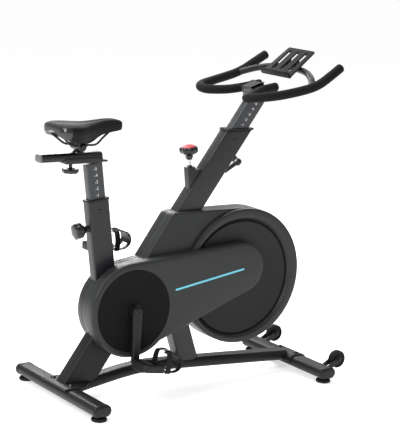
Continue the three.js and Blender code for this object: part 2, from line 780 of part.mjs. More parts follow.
function resistanceKnob() {
  const profile = [[0, 27], [5, 27], [11, 27], [13, 32], [14, 44], [21, 50], [24, 56], [24, 66], [0, 66]];
  const lobes = 6;
  const body = turned(profile, 18);
  const flutes = [...Array(lobes).keys()].map((i) => {
    const angle = (i * 2 * Math.PI) / lobes;
    const flute = new THREE.CylinderGeometry(5, 5, 60, 8);
    flute.rotateX(Math.PI / 2);
    flute.translate(26.5 * Math.cos(angle), 26.5 * Math.sin(angle), 60);
    return flute;
  });
  const bore = new THREE.CylinderGeometry(4.3, 4.3, 22, 16);
  bore.rotateX(Math.PI / 2);
  bore.translate(0, 0, 26);
  return aim(cut(body, bore, ...flutes), [BRAKE.x, 0, BRAKE.z], [brakeUp[0], 0, brakeUp[1]]);
}

function knobCap() {
  const base = 66 + GAP;
  const cap = turned([[0, base], [19, base], [18, base + 4], [11, base + 7], [0, base + 8]], 20);
  return aim(cap, [BRAKE.x, 0, BRAKE.z], [brakeUp[0], 0, brakeUp[1]]);
}

// Yoke that straddles the flywheel rim and carries the magnets; it hangs on a pin near the top.
const YOKE_PIN = { x: 330, z: 566 };

function magnetBracket() {
  const outer = new THREE.Shape();
  outer.absarc(FLYWHEEL.x, FLYWHEEL.z, FLYWHEEL_R + 16, radians(98), radians(136), false);
  outer.absarc(FLYWHEEL.x, FLYWHEEL.z, FLYWHEEL_R - 24, radians(136), radians(98), true);
  outer.closePath();
  const cheeks = slab(outer, -20, 20, { segments: 4 });
  const gap = new THREE.Shape();
  gap.absarc(FLYWHEEL.x, FLYWHEEL.z, FLYWHEEL_R + 8, 0, 2 * Math.PI);
  const slot = slab(gap, -15.5, 15.5, { segments: 20 });
  const lug = box(YOKE_PIN.x - 9, YOKE_PIN.x + 9, -14, 14, YOKE_PIN.z - 46, YOKE_PIN.z + 8);
  return cut(join(cheeks, lug), slot, rod(YOKE_PIN.x, YOKE_PIN.z, 4.3, -40, 40, 12));
}

// ---------------------------------------------------------------- seat
function seatSleeve() {
  const liner = seatBar(
    boxShape(SEAT_TUBE.wide - 2 * TUBE_WALL - 2 * GAP, SEAT_TUBE.deep - 2 * TUBE_WALL - 2 * GAP, 3),
    -120,
    1,
  );
  const flange = seatBar(boxShape(SEAT_TUBE.wide + 3, SEAT_TUBE.deep + 3, TUBE_CORNER + 1), GAP, 7);
  const bore = seatBar(boxShape(SEAT_POST.wide + 2 * GAP, SEAT_POST.deep + 2 * GAP, 3), -130, 10);
  return cut(join(liner, flange), bore, seatKnobHole());
}

function seatPost() {
  return seatBar(hollow(boxShape, 1, SEAT_POST.wide, SEAT_POST.deep, 2, 3), -SEAT_POST.inside, SEAT_POST.out);
}

const SEAT_KNOB_DOWN = 88;

function seatKnobPoint(out) {
  const back = SEAT_TUBE.deep / 2 + out;
  return [
    SEAT_TUBE.x - seatUp[0] * SEAT_KNOB_DOWN - seatUp[1] * back,
    0,
    SEAT_TUBE.z - seatUp[1] * SEAT_KNOB_DOWN + seatUp[0] * back,
  ];
}

function seatKnobHole() {
  const hole = new THREE.CylinderGeometry(6.6, 6.6, 44, 16);
  hole.rotateX(Math.PI / 2);
  return aim(hole, seatKnobPoint(0), [-seatUp[1], 0, seatUp[0]]);
}

function seatKnob() {
  const pin = 26 + 8.4;
  return aim(knob(24, 26, 5, 6, pin), seatKnobPoint(26), [-seatUp[1], 0, seatUp[0]]);
}

const CRADLE = { rear: -242, front: -106, wide: 50 };
const SLIDER_BOTTOM = SLIDER.z - SLIDER.high / 2;

function seatCradle() {
  const floor = SLIDER_BOTTOM - GAP;
  const tray = new THREE.ExtrudeGeometry(boxShape(CRADLE.wide, 22, 5), {
    depth: CRADLE.front - CRADLE.rear,
    curveSegments: 2,
    bevelEnabled: false,
  });
  tray.rotateZ(Math.PI / 2);
  tray.rotateY(Math.PI / 2);
  tray.rotateX(Math.PI / 2);
  tray.rotateX(-Math.PI / 2);
  tray.translate(CRADLE.rear, 0, floor + 5);
  const tongue = box(CRADLE.front - 30, -80, -13, 13, floor - 5.8, floor);
  const room = sliderBar(GAP, SLIDER.rear, SLIDER.front + 40);
  const open = box(CRADLE.rear - 5, CRADLE.front + 5, -SLIDER.wide / 2 + 4, SLIDER.wide / 2 - 4, SLIDER.z, SLIDER.z + 30);
  const postTop = seatBar(boxShape(SEAT_POST.wide + 2 * GAP, SEAT_POST.deep + 2 * GAP, 3), 0, SEAT_POST.out + GAP);
  const thread = sliderKnobHole();
  return cut(join(tray, tongue), room, open, postTop, thread);
}

function sliderSection(grow) {
  return boxShape(SLIDER.high + 2 * grow, SLIDER.wide + 2 * grow, 12);
}

function sliderBar(grow, from, to) {
  const bar = new THREE.ExtrudeGeometry(sliderSection(grow), {
    depth: to - from,
    curveSegments: 2,
    bevelEnabled: false,
  });
  bar.rotateY(Math.PI / 2);
  bar.translate(from, 0, SLIDER.z);
  return bar;
}

function seatSlider() {
  const bar = sliderBar(0, SLIDER.rear + 10, SLIDER.front);
  const bore = new THREE.ExtrudeGeometry(boxShape(SLIDER.high - 5, SLIDER.wide - 5, 9.5), {
    depth: SLIDER.front - SLIDER.rear,
    curveSegments: 2,
    bevelEnabled: false,
  });
  bore.rotateY(Math.PI / 2);
  bore.translate(SLIDER.rear - 5, 0, SLIDER.z);
  return cut(bar, bore);
}

function sliderCap() {
  const cap = new THREE.ExtrudeGeometry(boxShape(SLIDER.high, SLIDER.wide, 12), {
    depth: 4,
    curveSegments: 2,
    bevelEnabled: true,
    bevelThickness: 3,
    bevelSize: 3,
    bevelOffset: -3,
    bevelSegments: 1,
  });
  cap.rotateY(Math.PI / 2);
  cap.translate(SLIDER.rear + 3, 0, SLIDER.z);
  const plug = box(SLIDER.rear + 5, SLIDER.rear + 24, -13, 13, SLIDER.z - 8, SLIDER.z + 8);
  return join(cap, plug);
}

const SLIDER_KNOB = { x: -212, z: 778 };

function sliderKnobHole() {
  const hole = new THREE.CylinderGeometry(6.4, 6.4, 30, 16);
  hole.rotateX(Math.PI / 2);
  hole.translate(SLIDER_KNOB.x, 0, SLIDER_BOTTOM - 6);
  return hole;
}

function sliderKnob() {
  const stem = SLIDER_BOTTOM - SLIDER_KNOB.z - 0.6;
  const turnedKnob = knob(27, 19, 7, 6, stem);
  turnedKnob.rotateX(Math.PI);
  turnedKnob.translate(SLIDER_KNOB.x, 0, SLIDER_KNOB.z);
  return turnedKnob;
}

const RAIL = { y: 21, r: 3.6, z: 852 };

function railPath(side) {
  const y = side * RAIL.y;
  return new THREE.CatmullRomCurve3([
    new THREE.Vector3(-74, side * 9, 892),
    new THREE.Vector3(-104, side * 15, 872),
    new THREE.Vector3(-134, y, RAIL.z),
    new THREE.Vector3(-180, y, RAIL.z),
    new THREE.Vector3(-222, y, RAIL.z),
    new THREE.Vector3(-250, side * 30, 872),
    new THREE.Vector3(-266, side * 38, 884),
  ]);
}

function saddleRails() {
  return railLoop(RAIL.r);
}

function railSpace() {
  return railLoop(RAIL.r + GAP);
}

function railLoop(r) {
  const sides = [-1, 1].map((side) => sweep(circleShape(0, 0, r), railPath(side), 9, 3));
  return join(...sides, rod(-75, 891, r, -11 - r, 11 + r, 12));
}

const SADDLE_PIVOT = { x: SADDLE_RISE.x, z: RAIL.z - 6 };

function saddlePillar() {
  const top = SLIDER.z + SLIDER.high / 2;
  const foot = box(SADDLE_RISE.x - 22, SADDLE_RISE.x + 22, -8, 8, top - 1, top + 4);
  const stem = new THREE.CylinderGeometry(11, 13, 16, 20);
  stem.rotateX(Math.PI / 2);
  stem.translate(SADDLE_RISE.x, 0, SADDLE_RISE.z + 7);
  return cut(join(foot, stem), rod(SADDLE_PIVOT.x, SADDLE_PIVOT.z, 15.6, -40, 40, 16));
}

function saddleClamp() {
  const barrel = rod(SADDLE_PIVOT.x, SADDLE_PIVOT.z, 14.8, -29, 29, 16);
  const jaw = box(SADDLE_PIVOT.x - 17, SADDLE_PIVOT.x + 17, -29, 29, RAIL.z - 3, RAIL.z + 9);
  const bolt = rod(SADDLE_PIVOT.x, SADDLE_PIVOT.z, 6, -35, 35, 6);
  return cut(join(barrel, jaw, bolt), railSpace());
}

// The saddle is lofted from cross sections; each has a half width, a top height and a skirt depth.
function saddleBody() {
  const stations = [
    { x: -284, half: 58, top: 914, skirt: 896 },
    { x: -272, half: 76, top: 922, skirt: 889 },
    { x: -240, half: 83, top: 926, skirt: 880 },
    { x: -205, half: 76, top: 921, skirt: 874 },
    { x: -170, half: 54, top: 917, skirt: 876 },
    { x: -130, half: 34, top: 919, skirt: 884 },
    { x: -85, half: 24, top: 925, skirt: 893 },
    { x: -45, half: 21, top: 926, skirt: 898 },
    { x: -24, half: 14, top: 919, skirt: 901 },
  ];
  const around = 16;
  const positions = [];
  const index = [];
  for (const { x, half, top, skirt } of stations) {
    for (let j = 0; j < around; j += 1) {
      const angle = (j / around) * 2 * Math.PI;
      const side = Math.cos(angle);
      const lift = Math.sin(angle);
      const middle = skirt + (top - skirt) * 0.45;
      const z = lift > 0 ? middle + lift * (top - middle) : middle + lift * (middle - skirt);
      positions.push(x, half * Math.sign(side) * Math.abs(side) ** 0.8, z);
    }
  }
  const rows = stations.length;
  for (let i = 0; i < rows - 1; i += 1) {
    for (let j = 0; j < around; j += 1) {
      const a = i * around + j;
      const b = i * around + ((j + 1) % around);
      index.push(a, b, a + around, b, b + around, a + around);
    }
  }
  const ends = [stations[0], stations[rows - 1]].map(({ x, top, skirt }) => {
    positions.push(x, 0, (top + skirt) / 2);
    return positions.length / 3 - 1;
  });
  const last = (rows - 1) * around;
  for (let j = 0; j < around; j += 1) {
    const next = (j + 1) % around;
    index.push(ends[0], next, j);
    index.push(ends[1], last + j, last + next);
  }
  const geometry = new THREE.BufferGeometry();
  geometry.setAttribute('position', new THREE.Float32BufferAttribute(positions, 3));
  geometry.setIndex(index);
  geometry.computeVertexNormals();
  return cut(geometry, railSpace());
}

// ---------------------------------------------------------------- handlebar
function handleSleeve() {
  const liner = handleBar(
    boxShape(HANDLE_TUBE.wide - 2 * TUBE_WALL - 2 * GAP, HANDLE_TUBE.deep - 2 * TUBE_WALL - 2 * GAP, 3),
    -110,
    60,
  );
  const flange = handleBar(boxShape(HANDLE_TUBE.wide + 3, HANDLE_TUBE.deep + 3, TUBE_CORNER + 1), -80, 80);
  const level = HANDLE_TUBE.z;
  const flangeBand = common(flange, box(200, 700, -60, 60, level + GAP, level + 7));
  const linerCut = cut(liner, box(200, 700, -60, 60, level + 2, level + 200));
  const bore = handleBar(boxShape(HANDLE_POST.wide + 2 * GAP, HANDLE_POST.deep + 2 * GAP, 3), -130, 100);
  return cut(join(linerCut, flangeBand), bore, leverHole());
}

function handlePost() {
  return handleBar(hollow(boxShape, 1, HANDLE_POST.wide, HANDLE_POST.deep, 2, 3), -HANDLE_POST.inside, HANDLE_POST.out);
}

const LEVER_DOWN = 82;

function leverPoint(out) {
  const front = HANDLE_TUBE.deep / 2 + out;
  return [
    HANDLE_TUBE.x - handleUp[0] * LEVER_DOWN + handleFront[0] * front,
    0,
    HANDLE_TUBE.z - handleUp[1] * LEVER_DOWN + handleFront[1] * front,
  ];
}

const leverAxis = [handleFront[0], 0, handleFront[1]];

function leverHole() {
  const hole = new THREE.CylinderGeometry(5.6, 5.6, 50, 16);
  hole.rotateX(Math.PI / 2);
  return aim(hole, leverPoint(0), leverAxis);
}

function handleLever() {
  const screw = turned([[0, -9.5], [5.2, -9.5], [5.2, 2], [11, 2], [11, 14], [9, 15], [9, 30], [11.5, 31], [12, 40], [0, 42]], 12);
  const arm = new THREE.Shape();
  arm.absarc(0, 0, 10, 0, Math.PI);
  arm.lineTo(-6, -50);
  arm.absarc(0, -52, 6, Math.PI, 2 * Math.PI);
  arm.closePath();
  const blade = plate(arm, 30, 38, 5);
  blade.rotateZ(radians(125));
  const lever = join(screw, blade);
  return aim(lever, leverPoint(GAP), leverAxis);
}

const CLAMP = { x: 497, z: 1012, tilt: 18 };

// Head welded on the post: it carries the lower half of the bar clamp.
function clampBase() {
  const saddle = slantedBar(boxShape(62, 20, 3), -27, 27, CLAMP.x, CLAMP.z - 10.5, CLAMP.tilt);
  const top = HANDLE_POST.out;
  const neck = handleBar(boxShape(HANDLE_POST.wide, HANDLE_POST.deep, 4), top - 4, top + 30);
  const above = slantedBar(boxShape(200, 60, 2), -100, 100, CLAMP.x, CLAMP.z + 29.5, CLAMP.tilt);
  return cut(join(saddle, neck), above, rod(CLAMP.x, CLAMP.z, BAR_R + 2 * GAP, -60, 60, 12));
}

function clampCap() {
  const cap = slantedBar(boxShape(62, 19, 4), -27, 27, CLAMP.x, CLAMP.z + 10.5, CLAMP.tilt);
  const grooves = [-14, 0, 14].map((along) => {
    const groove = rod(0, 0, 3, -40, 40, 12);
    groove.applyMatrix4(sideTurn(CLAMP.tilt, CLAMP.x, CLAMP.z + 10.5).multiply(
      new THREE.Matrix4().makeTranslation(along, 0, 11),
    ));
    return groove;
  });
  return cut(cap, rod(CLAMP.x, CLAMP.z, BAR_R + 2 * GAP, -60, 60, 12), ...grooves);
}

const BAR_STEPS = 20;

// Middle line of one side of the handlebar, from its free inner end to the tip of the grip.
function barPoints(side) {
  return [
    [556, 46, 1024],
    [500, 50, 1015],
    [450, 72, 1005],
    [408, 98, 1001],
    [382, 122, 1001],
    [381, 152, 1005],
    [408, 180, 1010],
    [470, 202, 1019],
    [560, 216, 1037],
    [610, 219, 1054],
    [656, 217, 1080],
    [698, 213, 1105],
  ].map(([x, y, z]) => new THREE.Vector3(x, side * y, z));
}

function barCurve(side) {
  return new THREE.CatmullRomCurve3(barPoints(side), false, 'centripetal');
}

function crossCurve() {
  return new THREE.CatmullRomCurve3([
    [588, -206, 1046], [618, -160, 1064], [644, -95, 1078], [655, 0, 1083],
    [644, 95, 1078], [618, 160, 1064], [588, 206, 1046],
  ].map((p) => new THREE.Vector3(...p)));
}

function handlebarFrame() {
  const loops = [-1, 1].map((side) => sweep(circleShape(0, 0, BAR_R), barCurve(side), BAR_STEPS, 3));
  const cross = sweep(circleShape(0, 0, 12), crossCurve(), 10, 3);
  const middle = rod(CLAMP.x, CLAMP.z, BAR_R, -54, 54, 12);
  const mount = tabletPlateAt(
    new THREE.BoxGeometry(46, 70, 6).translate(-4, 0, -6.4),
  );
  const pedestal = box(643, 667, -20, 20, 1082, 1094);
  return join(...loops, cross, middle, mount, pedestal);
}

function grip(side) {
  const section = circleShape(0, 0, GRIP_R);
  section.holes.push(new THREE.Path().absarc(0, 0, BAR_R + 0.4, 0, 2 * Math.PI));
  const foam = sweep(section, barCurve(side), BAR_STEPS, 3);
  const cross = sweep(circleShape(0, 0, 12.6), crossCurve(), 10, 3);
  const middle = rod(CLAMP.x, CLAMP.z, BAR_R + 0.6, -54, 54, 12);
  const inner = box(CLAMP.x - 60, CLAMP.x + 60, -33, 33, 980, 1060);
  return cut(foam, cross, middle, inner);
}

// Plate that leans back towards the rider; its local X runs up the plate.
const TABLET = { x: 646, z: 1101.5, tilt: 38, long: 134, wide: 156, thick: 5 };

function tabletPlateAt(geometry) {
  geometry.applyMatrix4(sideTurn(TABLET.tilt, TABLET.x, TABLET.z));
  return geometry;
}

function tabletHolder() {
  const shape = new THREE.Shape();
  const { long, wide, thick } = TABLET;
  const r = 8;
  const halfLow = wide / 2 + 4;
  const halfHigh = wide / 2 - 4;
  shape.moveTo(-long / 2, -halfLow);
  shape.lineTo(long / 2 - r, -halfHigh);
  shape.quadraticCurveTo(long / 2, -halfHigh, long / 2, -halfHigh + r);
  shape.lineTo(long / 2, halfHigh - r);
  shape.quadraticCurveTo(long / 2, halfHigh, long / 2 - r, halfHigh);
  shape.lineTo(-long / 2, halfLow);
  for (const y of [-46, 0, 46]) {
    const slot = new THREE.Path();
    slot.absarc(long / 2 - 24, y, 7, -Math.PI / 2, Math.PI / 2);
    slot.absarc(-long / 2 + 34, y, 7, Math.PI / 2, 1.5 * Math.PI);
    shape.holes.push(slot);
  }
  const sheet = plate(shape, 0, thick);
  const lip = box(-long / 2 - 5, -long / 2 + 1, -halfLow, halfLow, 0, 22);
  return tabletPlateAt(join(sheet, lip));
}

// ---------------------------------------------------------------- assembly
const SIDES = [['right', -1], ['left', 1]];

function addBase() {
  add('base_beam', baseBeam(), 'frame');
  add('rear_stabilizer', stabilizer(REAR_STAB), 'frame');
  add('front_stabilizer', join(stabilizer(FRONT_STAB), wheelBracket(-1), wheelBracket(1)), 'frame');
  for (const [place, bolt] of Object.entries(BOLTS)) {
    add(`base_bolt_${place}`, baseBolt(bolt), 'black');
  }
  for (const [name, side] of SIDES) {
    add(`end_cap_rear_${name}`, endCap(REAR_STAB, side), 'black');
    add(`end_cap_front_${name}`, endCap(FRONT_STAB, side), 'black');
    add(`foot_rear_${name}`, levellingFoot(REAR_STAB, side), 'rubber');
    add(`foot_front_${name}`, levellingFoot(FRONT_STAB, side), 'rubber');
    add(`transport_wheel_${name}`, transportWheel(side), 'rubber');
  }
}

function addFrame() {
  add('rear_leg', rearLeg(), 'frame');
  add('seat_tube', seatTube(), 'frame');
  add('handle_tube', join(handleTube(), frontLeg(), brakeHousing()), 'frame');
  add('drive_frame', driveFrame(), 'frame');
}

function addCovers() {
  const shell = bodyShell();
  add('shroud_right', shroudHalf(shell, -1), 'shroud');
  add('shroud_left', shroudHalf(shell, 1), 'shroud');
  add('drive_cover', driveCover(), 'shroud');
  add('crank_disc', crankDisc(), 'disc');
  add('light_strip', stripSlab(COVER_FACE - 0.2, COVER_FACE + STRIP.deep - GAP, -0.15), 'light');
}

function addDrive() {
  add('bottom_bracket', bottomBracket(), 'steel');
  add('crank_axle', crankAxle(), 'steel');
  add('crank_pulley', crankPulley(), 'black');
  add('drive_belt', driveBelt(), 'rubber');
  add('flywheel', flywheel(), 'iron');
  add('flywheel_axle', join(flywheelAxle(), flywheelPulley()), 'steel');
  for (const [name, side] of SIDES) {
    add(`crank_arm_${name}`, placeCrankPiece(crankArm(), side, false), 'black');
    add(`pedal_${name}`, placeCrankPiece(pedalBody(), side, true), 'black');
    add(`toe_cage_${name}`, placeCrankPiece(toeCage(), side, true), 'black');
  }
}

function addBrake() {
  add('brake_rod', brakeRod(), 'steel');
  add('resistance_knob', resistanceKnob(), 'black');
  add('knob_cap', knobCap(), 'red');
  add('magnet_bracket', magnetBracket(), 'steel');
}

function addSeat() {
  add('seat_sleeve', seatSleeve(), 'black');
  add('seat_post', seatPost(), 'post');
  add('seat_knob', seatKnob(), 'black');
  add('seat_cradle', seatCradle(), 'frame');
  add('seat_slider', join(seatSlider(), saddlePillar()), 'frame');
  add('slider_cap', sliderCap(), 'black');
  add('slider_knob', sliderKnob(), 'black');
  add('saddle_clamp', saddleClamp(), 'black');
  add('saddle_rails', saddleRails(), 'steel');
  add('saddle', saddleBody(), 'leather');
}

function addHandlebar() {
  add('handle_sleeve', handleSleeve(), 'black');
  add('handle_post', join(handlePost(), clampBase()), 'post');
  add('handle_lever', handleLever(), 'black');
  add('clamp_cap', clampCap(), 'post');
  add('handlebar', handlebarFrame(), 'frame');
  add('grip_right', grip(-1), 'foam');
  add('grip_left', grip(1), 'foam');
  add('tablet_holder', tabletHolder(), 'black');
}

addBase();
addFrame();
addCovers();
addDrive();
addBrake();
addSeat();
addHandlebar();

const rearEnd = SLIDER.rear;
const frontEnd = WHEEL.x + WHEEL.r;
bike.position.x = -(rearEnd + frontEnd) / 2;

export default bike;
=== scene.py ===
import math

import bmesh
import bpy
from mathutils import Matrix, Vector


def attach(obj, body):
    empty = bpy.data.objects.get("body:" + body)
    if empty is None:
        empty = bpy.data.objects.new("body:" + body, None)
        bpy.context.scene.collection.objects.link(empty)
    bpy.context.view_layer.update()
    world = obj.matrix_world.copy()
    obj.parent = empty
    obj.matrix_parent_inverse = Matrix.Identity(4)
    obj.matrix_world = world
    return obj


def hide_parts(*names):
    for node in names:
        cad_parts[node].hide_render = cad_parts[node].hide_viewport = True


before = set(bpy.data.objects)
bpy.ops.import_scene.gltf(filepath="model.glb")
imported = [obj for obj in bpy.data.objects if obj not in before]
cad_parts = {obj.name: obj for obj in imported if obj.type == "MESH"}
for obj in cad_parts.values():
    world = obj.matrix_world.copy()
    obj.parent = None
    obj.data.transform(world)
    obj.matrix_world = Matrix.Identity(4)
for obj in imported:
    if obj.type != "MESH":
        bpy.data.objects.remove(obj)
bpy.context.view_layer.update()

SHIFT_X = -245.5                 # from the crank axle's axis to the frame's origin
MM = 0.001

# Crank, covers and flywheel ring: centres are (x, z), sizes are radii or places along Y.
CRANK = (0, 300)
CRANK_LENGTH = 165
ARM_IN = 94
ARM_OUT = 114
RING = (456, 371)
RING_R = 238
RECESS = (446, 366)
RECESS_R = 204
BODY_NEAR = -44
BODY_FAR = 38
BODY_REAR_R = 148
COVER_FACE = -86
COVER_REAR_R = 160
COVER_FRONT = (434, 405)
COVER_FRONT_R = 90
DISC_R = 139
STRIP = ((160, 356), (440, 404))
STRIP_HIGH = 7

# Base
TUBE_OVAL = (66, 38)
STAB_Z = 36
REAR_STAB = {"x": -214, "half": 250, "foot": 243}
FRONT_STAB = {"x": 718, "half": 222, "foot": 212}
CAP_LENGTH = 18.3
PLATE_LOW = 54
PLATE_TOP = 60.3
BOLT_SEAT = 60.6
ROLLER = {"x": 794, "y": 186, "z": 68}

# Posts and tubes: (x, z) of the open top end's middle, leaning in degrees
SEAT_TUBE = (-112, 663)
SEAT_LEAN = 8.5
SEAT_TUBE_SECTION = (40, 78)
SEAT_POST_SECTION = (30, 60)
HANDLE_TUBE = (433, 874)
HANDLE_SLOPE = 54.5
HANDLE_TUBE_HALF = (23, 42)
HANDLE_POST_SECTION = (36, 60)
FRONT_LEG = {"top": (146, 436), "angle": 289.5, "section": (56, 72), "length": 378}
REAR_LEG = {"top": (2, 294), "angle": 235, "section": (56, 102), "length": 345}
BRAKE = (250, 755)
BRAKE_LEAN = 7
MARK_SIZE = 15

# Seat: heights of the slider and the saddle's pivot, and places along X
SLIDER_Z = 812
CRADLE_Z = 801
SLIDER_REAR = -334
SLIDER_FRONT = -104
PILLAR_X = -186
PIVOT_Z = 846
RAIL_Z = 852
RAIL_R = 3.6

# Handlebar and tablet plate
CLAMP = (497, 1012)
CLAMP_TILT = 18
GRIP_R = 15.6
BAR_R = 11
CROSS_R = 11.5
TABLET = (646, 1101.5)
TABLET_TILT = 38
TABLET_HALF = 67

# Pedal: across the bike, then fore and aft of its spindle
PEDAL_NEAR = 128
PEDAL_FAR = 220
PEDAL_MID = 174
PEDAL_FRONT = 46
PEDAL_REAR = -34
PEDAL_PITCH = -8

UP = (0, 0, 1)
ACROSS = (0, 1, 0)
SIDES = (("right", -1), ("left", 1))


# ------------------------------------------------------------------ shape tools
def place(x, y, z):
    return Vector(((x + SHIFT_X) * MM, y * MM, z * MM))


def mesh_object(name, points, faces, sharp=32):
    mesh = bpy.data.meshes.new(name)
    mesh.from_pydata([tuple(p) for p in points], [], faces)
    work = bmesh.new()
    work.from_mesh(mesh)
    bmesh.ops.remove_doubles(work, verts=work.verts, dist=1e-6)
    bmesh.ops.recalc_face_normals(work, faces=work.faces)
    work.to_mesh(mesh)
    work.free()
    smooth(mesh, sharp)
    obj = bpy.data.objects.new(name, mesh)
    bpy.context.collection.objects.link(obj)
    return obj


def smooth(mesh, sharp=32):
    for face in mesh.polygons:
        face.use_smooth = True
    mesh.set_sharp_from_angle(angle=math.radians(sharp))


def arc(cx, cz, r, start, end, steps=24):
    """Points on an arc, angles in degrees."""
    turn = [math.radians(start + (end - start) * i / steps) for i in range(steps + 1)]
    return [(cx + r * math.cos(a), cz + r * math.sin(a)) for a in turn]


def turn_outline(outline, angle, centre):
    """Turns (u, v) points by an angle in radians and moves them to a centre."""
    c, s = math.cos(angle), math.sin(angle)
    return [(centre[0] + u * c - v * s, centre[1] + u * s + v * c) for u, v in outline]


def rounded_box(wide, high, r, steps=5):
    w = wide / 2 - r
    h = high / 2 - r
    corners = [(w, h, 0), (-w, h, 90), (-w, -h, 180), (w, -h, 270)]
    return [p for cx, cy, a in corners for p in arc(cx, cy, r, a, a + 90, steps)]


def oval(wide, high, steps=14):
    r = high / 2
    flat = wide / 2 - r
    return arc(flat, 0, r, -90, 90, steps) + arc(-flat, 0, r, 90, 270, steps)


def clean(outline):
    kept = []
    for p in outline:
        if not kept or math.dist(p, kept[-1]) > 1e-4:
            kept.append(p)
    if math.dist(kept[0], kept[-1]) < 1e-4:
        kept.pop()
    return kept


def inset(outline, amount):
    """The outline moved inwards along its corner normals; it runs anticlockwise."""
    moved = []
    count = len(outline)
    for i, (x, z) in enumerate(outline):
        before = Vector(outline[i - 1])
        here = Vector((x, z))
        after = Vector(outline[(i + 1) % count])
        a = (here - before).normalized()
        b = (after - here).normalized()
        normal = Vector((-(a.y + b.y), a.x + b.x)).normalized()
        lean = max(0.35, normal.dot(Vector((-a.y, a.x))))
        moved.append((x + normal.x * amount / lean, z + normal.y * amount / lean))
    return moved


def edge_layers(low, high, r_low=0.0, r_high=0.0, steps=4):
    """Heights and insets of a slab whose two edges are rounded."""
    turns = [math.radians(90 * i / steps) for i in range(steps + 1)]
    layers = [(low, 0)]
    if r_low:
        layers = [(low + r_low * (1 - math.cos(a)), r_low * (1 - math.sin(a))) for a in turns]
    if r_high:
        return layers + [(high - r_high * (1 - math.sin(a)), r_high * (1 - math.cos(a))) for a in turns]
    return layers + [(high, 0)]


def signed_area(outline):
    return sum(a[0] * b[1] - b[0] * a[1] for a, b in zip(outline, outline[1:] + outline[:1]))


def skin(rings, count, start=True, end=True):
    """Faces over rings of count points each, with a cap at the start and at the end."""
    faces = []
    for k in range(rings - 1):
        for i in range(count):
            j = (i + 1) % count
            faces.append((k * count + i, k * count + j, (k + 1) * count + j, (k + 1) * count + i))
    if start:
        faces.append(tuple(range(count))[::-1])
    if end:
        faces.append(tuple(range((rings - 1) * count, rings * count)))
    return faces


def prism(name, outline, layers, where, sharp=32):
    """Stacks the outline at each (height, inset) layer; where(u, v, height) gives the point."""
    outline = clean(outline)
    if signed_area(outline) < 0:
        outline = outline[::-1]
    points = []
    for height, amount in layers:
        points += [where(u, v, height) for u, v in inset(outline, amount)]
    return mesh_object(name, points, skin(len(layers), len(outline)), sharp)


def side_slab(name, outline, y0, y1, r0=0.0, r1=0.0, steps=4, sharp=32):
    """An outline in X and Z between two Y planes; r0 and r1 round its edges."""
    return prism(name, outline, edge_layers(y0, y1, r0, r1, steps), lambda u, v, h: place(u, h, v), sharp)


def flat_plate(name, outline, z0, z1, r=0.0):
    return prism(name, outline, edge_layers(z0, z1, 0, r, 3), lambda u, v, h: place(u, v, h))


def along_bar(origin, angle):
    """Maps a section (across Y, across the bar) and a length to a slanted bar in the side view."""
    a = math.radians(angle)
    ux, uz = math.cos(a), math.sin(a)

    def where(u, v, h):
        return place(origin[0] + ux * h - uz * v, u, origin[1] + uz * h + ux * v)

    return where


def bar(name, wide, deep, r, low, high, origin, angle, r_low=0.0, r_high=0.0):
    section = rounded_box(wide, deep, r)
    return prism(name, section, edge_layers(low, high, r_low, r_high, 3), along_bar(origin, angle))


def turned(name, profile, point, direction, sides=48, lobes=0, lobe_depth=0.0, sharp=32):
    """Profile points are (radius, height) along direction from point."""
    turn = Vector((0, 0, 1)).rotation_difference(Vector(direction).normalized()).to_matrix()
    points = []
    for r, h in profile:
        for i in range(sides):
            a = 2 * math.pi * i / sides
            rr = r * (1 - lobe_depth * (0.5 - 0.5 * math.cos(lobes * a)))
            local = turn @ Vector((rr * math.cos(a), rr * math.sin(a), h))
            points.append(place(point[0] + local.x, point[1] + local.y, point[2] + local.z))
    faces = skin(len(profile), sides, profile[0][0] > 0.01, profile[-1][0] > 0.01)
    return mesh_object(name, points, faces, sharp)


def catmull(points, per=8):
    """A smooth run of points through the given ones."""
    pts = [Vector(p) for p in points]
    pts = [2 * pts[0] - pts[1]] + pts + [2 * pts[-1] - pts[-2]]
    run = []
    for i in range(1, len(pts) - 2):
        p0, p1, p2, p3 = pts[i - 1:i + 3]
        for k in range(per):
            t = k / per
            run.append(0.5 * ((2 * p1) + (p2 - p0) * t + (2 * p0 - 5 * p1 + 4 * p2 - p3) * t * t
                              + (3 * p1 - p0 - 3 * p2 + p3) * t ** 3))
    run.append(pts[-2])
    return run


def swept(name, section, path, ends=(0.0, 0.0), up=(0, 0, 1), sharp=40):
    """Carries a section along a path. ends gives the radius of each rounded end."""
    path = [Vector(p) for p in path]
    stations = []
    for end, radius in ((0, ends[0]), (1, ends[1])):
        if radius <= 0:
            continue
        tip = path[0] if end == 0 else path[-1]
        near = path[1] if end == 0 else path[-2]
        away = (tip - near).normalized()
        for k in range(1, 6):
            a = math.radians(90 * k / 6)
            stations.append((end, tip + away * radius * math.sin(a), math.cos(a)))
    first = [(p, s) for e, p, s in stations if e == 0][::-1]
    last = [(p, s) for e, p, s in stations if e == 1]
    rings = first + [(p, 1.0) for p in path] + last
    points = []
    normal = Vector(up)
    for i, (p, size) in enumerate(rings):
        a = rings[max(i - 1, 0)][0]
        b = rings[min(i + 1, len(rings) - 1)][0]
        tangent = (b - a).normalized()
        normal = (normal - tangent * normal.dot(tangent)).normalized()
        side = tangent.cross(normal)
        for u, v in section:
            q = p + side * u * size + normal * v * size
            points.append(place(*q))
    return mesh_object(name, points, skin(len(rings), len(section)), sharp)


def round_tube(name, path, r, ends=(0.0, 0.0), sides=20):
    return swept(name, arc(0, 0, r, 0, 360 - 360 / sides, sides - 1), path, ends)


